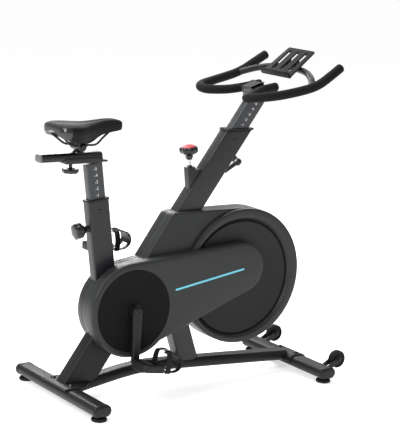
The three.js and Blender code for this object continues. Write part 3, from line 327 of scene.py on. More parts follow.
def carve(obj, *cutters):
    """Cuts the cutters out of obj and throws them away."""
    for cutter in cutters:
        mod = obj.modifiers.new("cut", "BOOLEAN")
        mod.operation = "DIFFERENCE"
        mod.solver = "EXACT"
        mod.object = cutter
    bpy.context.view_layer.update()
    seen = obj.evaluated_get(bpy.context.evaluated_depsgraph_get())
    mesh = bpy.data.meshes.new_from_object(seen)
    obj.modifiers.clear()
    obj.data = mesh
    smooth(mesh)
    for cutter in cutters:
        bpy.data.objects.remove(cutter)
    return obj


def merge(name, *objs):
    """One object holding the meshes of several."""
    work = bmesh.new()
    for obj in objs:
        work.from_mesh(obj.data)
    mesh = bpy.data.meshes.new(name)
    work.to_mesh(mesh)
    work.free()
    smooth(mesh)
    for obj in objs:
        bpy.data.objects.remove(obj)
    merged = bpy.data.objects.new(name, mesh)
    bpy.context.collection.objects.link(merged)
    return merged


def piece(obj, material, body, slot, *nodes):
    obj.data.materials.clear()
    obj.data.materials.append(material)
    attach(obj, body)
    if nodes:
        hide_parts(*nodes)
    return obj


# ------------------------------------------------------------------ materials
def surface(name, colour, rough, metal=0.0, grain=900.0, bump=0.05, blotch=6.0, vary=0.12,
            coat=0.0, spec=0.5, kind="NOISE", rough_vary=0.08, depth=0.0002, emission=None):
    """A procedural finish: colour drifts a little, roughness varies, and a fine grain stands in relief."""
    mat = bpy.data.materials.new(name)
    mat.use_nodes = True
    nodes = mat.node_tree.nodes
    links = mat.node_tree.links
    shader = nodes["Principled BSDF"]
    shader.inputs["Metallic"].default_value = metal
    shader.inputs["Coat Weight"].default_value = coat
    shader.inputs["Coat Roughness"].default_value = 0.12
    shader.inputs["Specular IOR Level"].default_value = spec
    coords = nodes.new("ShaderNodeTexCoord")

    drift = nodes.new("ShaderNodeTexNoise")
    drift.inputs["Scale"].default_value = blotch
    drift.inputs["Detail"].default_value = 6
    links.new(coords.outputs["Object"], drift.inputs["Vector"])
    mix = nodes.new("ShaderNodeMix")
    mix.data_type = "RGBA"
    dark = [c * (1 - vary) for c in colour]
    light = [min(1.0, c * (1 + vary) + 0.002) for c in colour]
    mix.inputs["A"].default_value = (*dark, 1)
    mix.inputs["B"].default_value = (*light, 1)
    links.new(drift.outputs["Fac"], mix.inputs["Factor"])
    links.new(mix.outputs["Result"], shader.inputs["Base Color"])

    worn = nodes.new("ShaderNodeMapRange")
    worn.inputs["To Min"].default_value = max(0.02, rough - rough_vary)
    worn.inputs["To Max"].default_value = min(1.0, rough + rough_vary)
    links.new(drift.outputs["Fac"], worn.inputs["Value"])
    links.new(worn.outputs["Result"], shader.inputs["Roughness"])

    if kind == "VORONOI":
        relief = nodes.new("ShaderNodeTexVoronoi")
        height = relief.outputs["Distance"]
    else:
        relief = nodes.new("ShaderNodeTexNoise")
        relief.inputs["Detail"].default_value = 3
        height = relief.outputs["Fac"]
    relief.inputs["Scale"].default_value = grain
    links.new(coords.outputs["Object"], relief.inputs["Vector"])
    ridge = nodes.new("ShaderNodeBump")
    ridge.inputs["Strength"].default_value = bump
    ridge.inputs["Distance"].default_value = depth
    links.new(height, ridge.inputs["Height"])
    links.new(ridge.outputs["Normal"], shader.inputs["Normal"])
    if emission:
        shader.inputs["Emission Color"].default_value = (*emission[0], 1)
        shader.inputs["Emission Strength"].default_value = emission[1]
    return mat


PAINT = surface("charcoal_paint", (0.0145, 0.0153, 0.0168), 0.36, grain=700, bump=0.10, coat=0.06, spec=0.34)
BASE_PAINT = surface("base_paint", (0.008, 0.0084, 0.0092), 0.42, grain=700, bump=0.10, coat=0.03, spec=0.22)
POST = surface("grey_paint", (0.045, 0.047, 0.050), 0.34, 0.25, grain=800, bump=0.08, coat=0.05, spec=0.4)
SHROUD = surface("shroud_plastic", (0.021, 0.022, 0.023), 0.36, grain=1400, bump=0.2, spec=0.28)
# Painted shade: the recessed inner disc is coloured darker than the shroud to stand in for the shade inside
# the recess.
RECESS_SHADE = surface("inner_disc_painted_shade", (0.014, 0.0145, 0.015), 0.5, grain=1100, bump=0.25, spec=0.2)
# Painted shade: near-black colour for the shadowed groove round the inner disc.
GROOVE_SHADE = surface("ring_groove_painted_shade", (0.003, 0.003, 0.003), 0.6, grain=1100, bump=0.1, spec=0.1)
DISC = surface("disc_plastic", (0.0045, 0.0045, 0.004), 0.55, grain=1300, bump=0.2, spec=0.09)
BLACK = surface("black_plastic", (0.006, 0.006, 0.0065), 0.42, grain=1200, bump=0.2, spec=0.3)
MATT = surface("matt_black", (0.006, 0.006, 0.0065), 0.6, grain=1200, bump=0.2, spec=0.12)
GLOSS = surface("gloss_black", (0.003, 0.003, 0.0035), 0.24, grain=500, bump=0.04, coat=0.12, spec=0.4)
RUBBER = surface("black_rubber", (0.008, 0.008, 0.008), 0.7, grain=900, bump=0.3, rough_vary=0.1, spec=0.2)
STEEL = surface("brushed_steel", (0.50, 0.51, 0.52), 0.26, 1.0, grain=1500, bump=0.1, vary=0.08)
DARK_STEEL = surface("blackened_steel", (0.012, 0.012, 0.013), 0.3, 0.3, grain=1200, bump=0.06, spec=0.5)
IRON = surface("cast_iron", (0.09, 0.09, 0.095), 0.5, 0.9, grain=600, bump=0.4)
FOAM = surface("grip_foam", (0.005, 0.005, 0.0055), 0.8, grain=520, bump=0.6, kind="VORONOI",
               depth=0.0005, spec=0.2)
LEATHER = surface("saddle_leather", (0.0055, 0.0055, 0.006), 0.6, grain=420, bump=0.4, kind="VORONOI",
                  depth=0.0003, spec=0.16)
LEATHER_GLOSS = surface("saddle_side", (0.007, 0.007, 0.008), 0.22, grain=420, bump=0.12, kind="VORONOI",
                        depth=0.0002, coat=0.3, spec=0.5)
RED = surface("red_cap", (0.46, 0.010, 0.028), 0.34, grain=600, bump=0.05, coat=0.15, spec=0.3)
# Cyan plastic strip; its emission is a painted glow, since the strip is no lamp.
STRIP_GLOW = surface("light_strip", (0.16, 0.52, 0.62), 0.3, grain=300, bump=0.05, spec=0.2,
                emission=((0.12, 0.60, 0.80), 0.12))
MARK = surface("scale_marks", (0.70, 0.71, 0.72), 0.5, grain=600, bump=0.05)
PALE = surface("pale_plastic", (0.10, 0.105, 0.11), 0.3, grain=600, bump=0.05, coat=0.2)


# ------------------------------------------------------------------ base
FOOT_PROFILE = [
    (0, 0.2), (22, 0.2), (25, 1.6), (26, 4), (26, 8), (24.5, 10.5), (20, 12), (9, 12.6), (6, 13),
    (6, 16.8), (0, 16.8),
]
BOLT_PROFILE = [
    (0, -2), (10.5, -2), (10.5, 0), (9.5, 0.6), (8.6, 3.2), (6.5, 5.4), (3.4, 6.6), (0, 7),
]
BOLTS = [
    ("rear_right", -214, -58), ("rear_left", -214, 58), ("front_right", 718, -46), ("front_left", 718, 46),
]
BEAM_POINTS = [
    (-174, 0, 38.2), (-90, 0, 53), (20, 0, 71), (110, 0, 78), (230, 0, 74), (450, 0, 63), (694, 0, 50),
]


def build_base():
    for end, stab in (("rear", REAR_STAB), ("front", FRONT_STAB)):
        build_stabilizer(end, stab)
    beam = swept("beam", oval(*TUBE_OVAL), catmull(BEAM_POINTS, 8), up=UP)
    plate = rear_plate()
    wrap = side_slab("wrap", half_saddle(), -62, 62, 2, 2)
    piece(merge("base_beam_tube", beam, plate, wrap), BASE_PAINT, "frame", "frame_charcoal", "base_beam")
    for name, x, y in BOLTS:
        bolt = turned(f"bolt_{name}", BOLT_PROFILE, (x, y, BOLT_SEAT), UP, 32)
        piece(bolt, GLOSS, "frame", "black_plastic", f"base_bolt_{name}")
    for name, side in SIDES:
        build_roller(name, side)


def build_stabilizer(end, stab):
    section = oval(*TUBE_OVAL)
    outline = [(stab["x"] + u, STAB_Z + v) for u, v in section]
    parts = [side_slab(f"{end}_tube", outline, -stab["half"], stab["half"])]
    if end == "front":
        parts += [roller_bracket(side) for side in (-1, 1)]
    tube = merge(f"{end}_stabilizer_tube", *parts)
    piece(tube, BASE_PAINT, "frame", "frame_charcoal", f"{end}_stabilizer")
    grown = [(stab["x"] + u * 1.03, STAB_Z + v * 1.05) for u, v in section]
    for name, side in SIDES:
        low, high = sorted((side * (stab["half"] - 2), side * (stab["half"] + CAP_LENGTH)))
        r_low, r_high = (9, 1) if side < 0 else (1, 9)
        cap = side_slab(f"{end}_cap_{name}", grown, low, high, r_low, r_high, 5)
        piece(cap, BLACK, "frame", "black_plastic", f"end_cap_{end}_{name}")
        at = (stab["x"], side * stab["foot"], 0)
        foot = turned(f"{end}_foot_{name}", FOOT_PROFILE, at, UP, lobes=12, lobe_depth=0.03)
        piece(foot, RUBBER, f"foot_{end[0]}{name[0]}", "rubber", f"foot_{end}_{name}")


def build_roller(name, side):
    """A hub and a crowned tyre, mirrored about the wheel's middle."""
    half = [(4.4, 11), (11, 11), (13, 9), (14, 7.5), (22, 7.5), (24, 9.5), (27, 11), (29.5, 10.4), (31, 8)]
    profile = [(r, -h) for r, h in half] + half[::-1] + [(4.4, -11)]
    at = (ROLLER["x"], side * ROLLER["y"], ROLLER["z"])
    wheel = turned(f"roller_{name}", profile, at, ACROSS, 56)
    piece(wheel, RUBBER, f"roller_{name[0]}", "rubber", f"transport_wheel_{name}")


def rear_plate():
    outline = [(-246, -78), (-188, -78)] + arc(-172, -62, 16, -90, 0, 5) + [(-128, -33), (-128, 33)]
    outline += arc(-172, 62, 16, 0, 90, 5) + [(-188, 78), (-246, 78)]
    return flat_plate("plate", outline, PLATE_LOW, PLATE_TOP, 1.5)


def half_saddle():
    """The bracket that hugs the front stabilizer from above, open below."""
    drop = 8
    kept = [(u, v) for u, v in oval(76, 48) if v > -drop]
    kept.sort(key=lambda p: math.atan2(p[1] + drop, p[0]))
    return [(FRONT_STAB["x"] + u, STAB_Z + v) for u, v in kept]


def roller_bracket(side):
    """Two cheeks and the pin's two heads beside a transport wheel."""
    parts = []
    for cheek in (-1, 1):
        y = side * ROLLER["y"] + cheek * 15
        outline = [(745, 34), (774, 46)] + arc(ROLLER["x"], ROLLER["z"], 11, -60, 112, 10) + [(745, 52)]
        parts.append(side_slab("cheek", outline, y - 1.5, y + 1.5, 0.5, 0.5, 1))
    for cheek in (-1, 1):
        y = side * ROLLER["y"] + cheek * 16.5
        head = [(0, 0), (7.5, 0), (7.5, 3), (6, 4.6), (0, 5)]
        at = (ROLLER["x"], y, ROLLER["z"])
        parts.append(turned("head", head, at, (0, cheek, 0), 24))
    return merge("bracket", *parts)


# ------------------------------------------------------------------ shroud and covers
def body_outline():
    """Round the crank, up the straight shoulder and round the flywheel."""
    outline = arc(*CRANK, BODY_REAR_R, 310, 100, 64)
    outline += [(64, 460), (158, 597), (162, 602), (168, 606.5), (176, 609)]
    outline += arc(*RING, RING_R, 90, -146, 96)
    return outline


def cover_outline():
    """A large and a small circle joined by their upper tangent."""
    reach, rise = COVER_FRONT[0], COVER_FRONT[1] - CRANK[1]
    climb = math.degrees(math.atan2(rise, reach))
    spread = math.degrees(math.asin((COVER_REAR_R - COVER_FRONT_R) / math.hypot(reach, rise)))
    upper = climb - spread + 90
    outline = arc(*CRANK, COVER_REAR_R, 314, upper, 72)
    outline += arc(*COVER_FRONT, COVER_FRONT_R, upper, -71, 56)
    return outline


def raised_ring():
    """Crescent round the flywheel: outer and inner edge are circles with different centres."""
    loops = [
        (RING, RING_R - 4, -42), (RING, RING_R - 0.4, -46), (RING, RING_R - 0.4, -54),
        (RING, RING_R - 1.5, -57.2), (RING, RING_R - 4, -59.2), (RING, RING_R - 7.5, -60),
        (RECESS, RECESS_R + 11, -60), (RECESS, RECESS_R + 9, -59.4), (RECESS, RECESS_R + 7.6, -58),
        (RECESS, RECESS_R + 1.5, -49), (RECESS, RECESS_R, -47.4), (RECESS, RECESS_R - 2.5, -46.2),
        (RECESS, RECESS_R - 6, -46.2), (RECESS, RECESS_R - 7.4, -48.6), (RECESS, RECESS_R - 10, -49.2),
        (RECESS, RECESS_R - 14, -48.2), (RECESS, 60, -48.2), (RECESS, 20, -48.2),
    ]
    sides = 128
    points = []
    for (cx, cz), r, y in loops:
        for i in range(sides):
            a = 2 * math.pi * i / sides
            points.append(place(cx + r * math.cos(a), y, cz + r * math.sin(a)))
    return mesh_object("ring", points, skin(len(loops), sides), 24)


def build_shroud():
    right = side_slab("shroud_right_side", body_outline(), BODY_NEAR, -0.4, 7, 0.6, 5)
    shell = merge("shroud_right_shell", right, raised_ring())
    piece(shell, SHROUD, "frame", "shroud_plastic", "shroud_right")
    shell.data.materials.append(RECESS_SHADE)
    shell.data.materials.append(GROOVE_SHADE)
    # Recess faces get painted shade: near-black on the recess wall and lip, darker plastic on the inner
    # disc.
    for face in shell.data.polygons:
        x, y, z = (Vector(face.center) - place(RECESS[0], 0, RECESS[1])) / MM
        away = math.hypot(x, z)
        if -60 < y < -46 and away < RECESS_R + 2.5:
            face.material_index = 2 if away > RECESS_R - 6.8 else 1
    left = side_slab("shroud_left_shell", body_outline(), 0.4, BODY_FAR, 0.6, 12, 6)
    piece(left, SHROUD, "frame", "shroud_plastic", "shroud_left")
    cover = side_slab("drive_cover_shell", cover_outline(), COVER_FACE, BODY_NEAR - 0.4, 11, 0.5, 6)
    hole = [(0, 0), (DISC_R + 0.6, 0), (DISC_R + 0.6, 6), (0, 6)]
    recess = turned("recess", hole, (CRANK[0], COVER_FACE - 4, CRANK[1]), ACROSS, 128)
    groove = strip_slab("groove", COVER_FACE - 3, COVER_FACE + 1.5, 0.3)
    piece(carve(cover, recess, groove), SHROUD, "frame", "shroud_plastic", "drive_cover")
    profile = [
        (0, 3), (DISC_R, 3), (DISC_R, 0.9), (DISC_R - 1.6, 0), (DISC_R - 5, 0.4), (60, 0.4), (34, 0.4),
        (32, -1.8), (29, -2.4), (23, -2.4), (23, 3), (0, 3),
    ]
    disc = turned("crank_cover_disc", profile, (CRANK[0], COVER_FACE + 1, CRANK[1]), ACROSS, 128)
    piece(disc, DISC, "frame", "disc_plastic", "crank_disc")
    # The strip's glow is painted into its material as emission.
    strip = strip_slab("cyan_strip_bar", COVER_FACE - 0.5, COVER_FACE + 1.4, -0.2)
    piece(strip, STRIP_GLOW, "frame", "light_strip", "light_strip")


def strip_slab(name, y0, y1, grow):
    a, b = STRIP
    angle = math.atan2(b[1] - a[1], b[0] - a[0])
    middle = ((a[0] + b[0]) / 2, (a[1] + b[1]) / 2)
    outline = turn_outline(oval(math.dist(a, b) + 2 * grow, STRIP_HIGH + 2 * grow), angle, middle)
    return side_slab(name, outline, y0, y1, 0.4 if grow < 0 else 0, 0, 2)


# ------------------------------------------------------------------ frame tubes
HANDLE_TUBE_DOWN = 400
SCREW_PROFILE = [(0, -1), (6, -1), (6, 0.6), (5, 1.6), (2.4, 2.0), (2.2, 1.0), (0, 1.0)]


def build_tubes():
    wide = HANDLE_TUBE_HALF[0]
    tube = side_slab("handle_tube_main", handle_tube_outline(), -wide, wide, 5, 5, 4)
    leg = bar("front_leg", *FRONT_LEG["section"], 6, 20, FRONT_LEG["length"], FRONT_LEG["top"],
              FRONT_LEG["angle"])
    upright = 90 + BRAKE_LEAN
    block = bar("block", 30, 30, 3, -110, 0, BRAKE, upright, 1, 2)
    bridge = bar("bridge", 28, 30, 3, -60, -6, (BRAKE[0] + 22, BRAKE[1] - 3), upright, 1, 2)
    welded = merge("handle_tube_frame", tube, leg, block, bridge)
    piece(welded, PAINT, "frame", "frame_charcoal", "handle_tube")
    seat = bar("seat_tube_main", *SEAT_TUBE_SECTION, 6, -330, -0.2, SEAT_TUBE, 90 + SEAT_LEAN)
    piece(seat, PAINT, "frame", "frame_charcoal", "seat_tube")
    rear = bar("rear_leg_tube", *REAR_LEG["section"], 7, 60, REAR_LEG["length"], REAR_LEG["top"],
               REAR_LEG["angle"])
    trim = flat_plate("trim", [(-400, -90), (200, -90), (200, 90), (-400, 90)], -200, BOLT_SEAT)
    piece(carve(rear, trim), BASE_PAINT, "frame", "frame_charcoal", "rear_leg")
    for name, at in (("seat_tube_screw", (-106, -20.2, 632)), ("handle_tube_screw", (415, -23.2, 842))):
        screw = turned(name, SCREW_PROFILE, at, (0, -1, 0), 24)
        piece(screw, GLOSS, "frame", "steel")


def handle_tube_outline():
    """The slanted handlebar tube seen from the side; both of its ends are cut level."""
    slope = math.radians(HANDLE_SLOPE)
    half = HANDLE_TUBE_HALF[1] / math.sin(slope)
    back = math.cos(slope) * HANDLE_TUBE_DOWN
    down = math.sin(slope) * HANDLE_TUBE_DOWN
    x, z = HANDLE_TUBE
    return [(x + half, z), (x - half, z), (x - half - back, z - down), (x + half - back, z - down)]


# ------------------------------------------------------------------ seat
PULL_PROFILE = [
    (0, -20), (7, -20), (7, 3), (15, 4), (18, 8), (21, 12), (25, 14), (27.5, 17), (28, 22), (28, 34),
    (26.5, 38), (22, 40.5), (8, 41), (0, 41),
]
SLIDER_KNOB_PROFILE = [
    (0, -20), (6, -20), (6, 1), (14, 2), (16, 4), (25, 5), (28, 8), (28, 15), (26, 19), (20, 21), (0, 21),
]
RAIL_POINTS = [
    (-74, 9, 892), (-104, 15, 872), (-134, 21, RAIL_Z), (-180, 21, RAIL_Z), (-222, 21, RAIL_Z),
    (-250, 30, 872), (-266, 38, 886),
]


def build_seat():
    lean = 90 + SEAT_LEAN
    collar = bar("seat_collar", 44, 82, 7, 0, 7.5, SEAT_TUBE, lean, 1.5, 2)
    piece(collar, BLACK, "frame", "black_plastic", "seat_sleeve")
    post = bar("seat_post_tube", *SEAT_POST_SECTION, 5, -112, 126, SEAT_TUBE, lean)
    piece(post, POST, "seat_mast", "post_grey", "seat_post")
    numbers("seat_number", SEAT_TUBE, lean, (20, 42, 64, 86, 108), -15.2, "seat_mast")
    build_seat_pull()
    build_slider()
    build_saddle_clamp()
    build_saddle()


def build_seat_pull():
    """Knob of the height pin, square to the back of the seat tube."""
    lean = math.radians(SEAT_LEAN)
    down, out = 88, 51
    x = SEAT_TUBE[0] + math.sin(lean) * down - math.cos(lean) * out
    z = SEAT_TUBE[1] - math.cos(lean) * down - math.sin(lean) * out
    back = (-math.cos(lean), 0, -math.sin(lean))
    pull = turned("seat_height_pull", PULL_PROFILE, (x, 0, z), back, 72, 6, 0.09)
    piece(pull, GLOSS, "seat_pin", "gloss_black", "seat_knob")
    profile = [(0, -14), (11, -14), (11, -3), (9.5, -1.5), (0, -1.5)]
    boss = turned("seat_knob_boss", profile, (x, 0, z), back, 32)
    piece(boss, GLOSS, "frame", "steel")


def along_x(name, section, layers, height, squeeze=1.0):
    """A bar that runs fore and aft at a height; the layers are places along X."""
    return prism(name, section, layers, lambda u, v, h: place(h, u, height + v * squeeze))


def build_slider():
    cradle = along_x("cradle_tray", rounded_box(50, 22, 5), edge_layers(-242, -106, 2, 2, 3), CRADLE_Z, 0.9)
    tongue = along_x("tongue", rounded_box(26, 6, 2), edge_layers(-130, -80, 0, 1.5, 2), 794.5)
    piece(merge("seat_cradle_body", cradle, tongue), PAINT, "seat_mast", "frame_charcoal", "seat_cradle")
    cap_end = SLIDER_REAR + 8
    layers = edge_layers(cap_end, SLIDER_FRONT, 0, 3, 4)
    slider = along_x("slider", rounded_box(40, 28, 12, 8), layers, SLIDER_Z)
    profile = [(0, -6), (20, -6), (18, 1), (13, 5), (12, 16), (0, 16)]
    stem = turned("stem", profile, (PILLAR_X, 0, 828), UP, 32)
    piece(merge("seat_slider_bar", slider, stem), GLOSS, "slider", "frame_charcoal", "seat_slider")
    layers = edge_layers(SLIDER_REAR, cap_end + 0.4, 5, 0, 5)
    cap = along_x("slider_end", rounded_box(39, 27, 12, 8), layers, SLIDER_Z)
    piece(cap, PALE, "slider", "post_grey", "slider_cap")
    knob = turned("slider_clamp_knob", SLIDER_KNOB_PROFILE, (-212, 0, 779), (0, 0, -1), 70, 7, 0.12)
    piece(knob, GLOSS, "slider_screw", "gloss_black", "slider_knob")


def build_saddle_clamp():
    pivot = (PILLAR_X, 0, PIVOT_Z)
    profile = [(0, -30), (13, -30), (15, -28), (15, 28), (13, 30), (0, 30)]
    barrel = turned("barrel", profile, pivot, ACROSS, 40)
    outline = [(-205, 847), (-205, 860), (-200, 863), (-172, 863), (-167, 860), (-167, 847)]
    jaw = side_slab("jaw", outline, -30, 30, 2, 2, 3)
    profile = [(0, 0), (8, 0), (8, 4), (6.5, 5.5), (0, 5.5)]
    nuts = [turned("nut", profile, (PILLAR_X, side * 30, PIVOT_Z), (0, side, 0), 6) for side in (-1, 1)]
    clamp = merge("saddle_clamp_body", barrel, jaw, *nuts)
    piece(clamp, PAINT, "saddle_top", "frame_charcoal", "saddle_clamp")
    rails = []
    for side in (-1, 1):
        path = catmull([(x, side * y, z) for x, y, z in RAIL_POINTS], 6)
        rails.append(round_tube("rail", path, RAIL_R, sides=14))
    piece(merge("saddle_rail_loop", *rails), DARK_STEEL, "saddle_top", "steel", "saddle_rails")


SADDLE_STATIONS = [
    # x, half width, top, skirt
    (-285, 46, 910, 893), (-282, 60, 917, 883), (-272, 74, 923, 876), (-254, 82, 926, 871),
    (-234, 84, 926, 867), (-214, 78, 925, 862), (-194, 66, 924, 860), (-174, 52, 923.5, 862),
    (-152, 41, 924.5, 868), (-128, 32, 927.5, 876), (-104, 26.5, 930.5, 882), (-80, 24, 932, 886),
    (-58, 23, 931, 889), (-40, 20, 927, 891), (-28, 14, 920, 896),
]


def saddle_ring(x, half, top, skirt, around):
    """One cross section: crowned top with a channel, sides that tuck in, and a hollow underside."""
    ring = []
    middle = skirt + (top - skirt) * 0.60
    belly = min(top - 14, skirt + 20)
    for j in range(around):
        a = 2 * math.pi * j / around
        c, s = math.cos(a), math.sin(a)
        if s >= 0:
            y = half * math.copysign(abs(c) ** 0.72, c)
            z = middle + (top - middle) * s ** 0.62
            if -266 < x < -48:
                z -= 5.5 * math.exp(-(y / 7.5) ** 2)
            if 0.1 < s < 0.3:
                y -= math.copysign(1.4, y)
        elif s > -0.62:
            t = -s / 0.62
            y = half * math.copysign(1 - 0.20 * t * t, c)
            z = middle + (skirt - middle) * t
        else:
            t = (-s - 0.62) / 0.38
            y = half * 0.78 * (c / 0.785)
            z = skirt + (belly - skirt) * math.sin(t * math.pi / 2)
        ring.append(place(x, y, z))
    return ring


def build_saddle():
    """Lofted shell: a padded top over two deep wings and a narrow nose."""
    around = 48
    points = []
    for station in SADDLE_STATIONS:
        points += saddle_ring(*station, around)
    saddle = mesh_object("saddle_pad", points, skin(len(SADDLE_STATIONS), around), 60)
    saddle.data.materials.append(LEATHER)
    saddle.data.materials.append(LEATHER_GLOSS)
    gloss_ends = place(-248, 0, 0).x
    for face in saddle.data.polygons:
        face.material_index = int(face.center.x < gloss_ends and face.normal.z < 0.7)
    sub = saddle.modifiers.new("rounder", "SUBSURF")
    sub.levels = 2
    sub.render_levels = 2
    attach(saddle, "saddle_top")
    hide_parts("saddle")


def numbers(name, origin, angle, heights, y, body):
    """Adjustment marks: a digit and a tick at each height, on the right side of a post."""
    a = math.radians(angle)
    for count, h in enumerate(heights, 1):
        text = bpy.data.curves.new(f"{name}_{count}", "FONT")
        text.body = f"-{count}"
        text.size = MARK_SIZE * MM
        text.extrude = 0.1 * MM
        text.align_x = "CENTER"
        text.align_y = "CENTER"
        obj = bpy.data.objects.new(f"{name}_{count}", text)
        bpy.context.collection.objects.link(obj)
        spot = place(origin[0] + math.cos(a) * h, y, origin[1] + math.sin(a) * h)
        turn = Matrix.Rotation(-(a - math.pi / 2), 4, "Y") @ Matrix.Rotation(math.pi / 2, 4, "X")
        obj.matrix_world = Matrix.Translation(spot) @ turn
        bpy.context.view_layer.update()
        drawn = obj.evaluated_get(bpy.context.evaluated_depsgraph_get())
        mesh = bpy.data.meshes.new_from_object(drawn)
        solid = bpy.data.objects.new(f"{name}_{count}_mark", mesh)
        solid.matrix_world = obj.matrix_world
        bpy.context.collection.objects.link(solid)
        bpy.data.objects.remove(obj)
        piece(solid, MARK, body, "post_grey")


# ------------------------------------------------------------------ handlebar
BAR_POINTS = [
    (556, 46, 1024), (500, 50, 1015), (450, 72, 1005), (408, 98, 1001),
    (382, 122, 1001), (381, 152, 1005), (408, 180, 1010), (470, 202, 1019),
    (560, 216, 1037), (610, 219, 1054), (656, 217, 1080), (698, 213, 1105),
]
CROSS_POINTS = [
    (588, -206, 1046), (618, -160, 1064), (644, -95, 1078), (655, 0, 1083), (644, 95, 1078),
    (618, 160, 1064), (588, 206, 1046),
]
LUG_OUTLINE = [(645, 1078), (666, 1078), (666, 1113), (640, 1093)]


def build_handlebar():
    build_handle_post()
    build_clamp_cap()
    for name, side in SIDES:
        path = catmull([(x, side * y, z) for x, y, z in BAR_POINTS], 8)
        foam = round_tube(f"foam_grip_{name}", path, GRIP_R, (9, 9), 28)
        piece(foam, FOAM, "handle_mast", "foam", f"grip_{name}")
    cross = round_tube("cross", catmull(CROSS_POINTS, 8), CROSS_R, sides=24)
    profile = [(0, -52), (BAR_R, -52), (BAR_R, 52), (0, 52)]
    middle = turned("middle", profile, (CLAMP[0], 0, CLAMP[1]), ACROSS, 32)
    lugs = [side_slab("lug", LUG_OUTLINE, y - 7, y + 7, 1, 1, 2) for y in (-23, 23)]
    tubes = merge("handlebar_tubes", cross, middle, *lugs)
    piece(tubes, BASE_PAINT, "handle_mast", "frame_charcoal", "handlebar")
    build_tablet()
    build_lever()


def build_handle_post():
    x, z = HANDLE_TUBE
    slope = math.radians(HANDLE_SLOPE)
    half = 44 / math.sin(slope)
    step = math.cos(slope) * 8
    outline = [(x + half, z), (x + half + step, z + 7.5), (x - half + step, z + 7.5), (x - half, z)]
    collar = side_slab("post_collar", outline, -25, 25, 2, 2, 3)
    piece(collar, BLACK, "frame", "black_plastic", "handle_sleeve")
    post = bar("post", *HANDLE_POST_SECTION, 5, -118, 134, HANDLE_TUBE, HANDLE_SLOPE)
    tilt = math.radians(CLAMP_TILT)
    base_at = (CLAMP[0] + math.sin(tilt) * 10.5, CLAMP[1] - math.cos(tilt) * 10.5)
    base = bar("base", 62, 20, 4, -27, 27, base_at, CLAMP_TILT, 2, 2)
    piece(merge("handle_post_tube", post, base), POST, "handle_mast", "post_grey", "handle_post")
    numbers("handle_number", HANDLE_TUBE, HANDLE_SLOPE, (24, 46, 68, 90, 112), -18.2, "handle_mast")


def build_clamp_cap():
    """Lid over the middle of the handlebar, with seven grooves across its top."""
    grooves = []
    for k in range(-3, 4):
        grooves += [(k * 8 - 2.2, 9.5), (k * 8, 7.2), (k * 8 + 2.2, 9.5)]
    lid = [(-27, -9.3), (-27, 7), (-25.6, 9.5)] + grooves + [(25.6, 9.5), (27, 7), (27, -9.3)]
    outline = turn_outline([(u, v + 10) for u, v in lid], math.radians(CLAMP_TILT), CLAMP)
    cap = side_slab("clamp_top", outline, -31, 31, 2, 2, 3)
    piece(cap, POST, "handle_mast", "post_grey", "clamp_cap")


def build_tablet():
    """Plate with three open slots, a lip that holds the tablet and a rib behind its upper edge."""
    tilt = math.radians(TABLET_TILT)
    low = -TABLET_HALF
    high = TABLET_HALF - 8

    def where(u, v, h):
        x, z = turn_outline([(u, h)], tilt, TABLET)[0]
        return place(x, v, z)

    outline = [(low, -82), (high, -74)] + arc(high, -66, 8, -90, 0, 5)
    outline += arc(high, 66, 8, 0, 90, 5) + [(low, 82)]
    sheet = prism("sheet", outline, edge_layers(0, 5, 0.8, 1.2, 2), where)
    slots = []
    for y in (-46, 0, 46):
        slot = arc(TABLET_HALF - 22, y, 8.5, -90, 90, 8) + arc(low + 30, y, 8.5, 90, 270, 8)
        slots.append(prism("slot", slot, [(-4, 0), (9, 0)], where))
    sheet = carve(sheet, *slots)
    section = rounded_box(7, 164, 2)
    lip = prism("lip", section, edge_layers(-1, 22, 0, 3, 4), lambda u, v, h: where(u - 69, v, h))
    section = rounded_box(4, 140, 1.5)
    rib = prism("rib", section, edge_layers(-4, 3, 1, 0, 2), lambda u, v, h: where(u + 50, v, h))
    plate = merge("tablet_holder_plate", sheet, lip, rib)
    piece(plate, MATT, "handle_mast", "black_plastic", "tablet_holder")


LEVER_BOSS = [(0, -8), (14, -8), (14, 8), (12, 10), (0, 10)]
LEVER_HUB = [(0, 11), (10, 11), (11, 13), (11, 30), (13, 33), (13, 40), (11, 43), (0, 44)]
LEVER_RING = [(0, 14), (11.8, 14), (12.2, 15), (12.2, 18), (11.8, 19), (0, 19)]
LEVER_DOWN = 82
LEVER_OUT = 42.3
BLADE_ANGLE = 125


def build_lever():
    """Quick clamp on the front of the handlebar tube."""
    slope = math.radians(HANDLE_SLOPE)
    up = (math.cos(slope), 0, math.sin(slope))
    front = (math.sin(slope), 0, -math.cos(slope))
    x = HANDLE_TUBE[0] - up[0] * LEVER_DOWN + front[0] * LEVER_OUT
    z = HANDLE_TUBE[1] - up[2] * LEVER_DOWN + front[2] * LEVER_OUT
    at = (x, 0, z)
    boss = turned("lever_boss", LEVER_BOSS, at, front, 40)
    piece(boss, PAINT, "frame", "frame_charcoal")
    hub = turned("hub", LEVER_HUB, at, front, 40)
    turn = Vector(UP).rotation_difference(Vector(front)).to_matrix()
    outline = arc(0, 0, 10, 0, 180, 8) + [(-6, -48)] + arc(0, -54, 7, 180, 360, 8) + [(6, -48)]
    outline = turn_outline(outline, math.radians(BLADE_ANGLE), (0, 0))

    def where(u, v, h):
        q = turn @ Vector((u, v, h))
        return place(x + q.x, q.y, z + q.z)

    blade = prism("blade", outline, edge_layers(30, 39, 2, 3, 3), where)
    piece(merge("post_lever_arm", hub, blade), GLOSS, "lever", "gloss_black", "handle_lever")
    ring = turned("post_lever_ring", LEVER_RING, at, front, 40)
    piece(ring, STEEL, "lever", "steel")


# ------------------------------------------------------------------ brake control
TENSION_KNOB = [
    (0, 26), (9, 26), (11, 28), (12.5, 33), (14, 40), (20, 45), (27, 48), (31, 52), (32.5, 58), (32, 66),
    (30, 69.6), (27, 70.4), (25.4, 69), (25, 67), (0, 67),
]
TENSION_CAP = [(0, 66), (24, 66), (24.4, 69), (23.2, 71.6), (20, 73.4), (12, 74.6), (0, 75)]


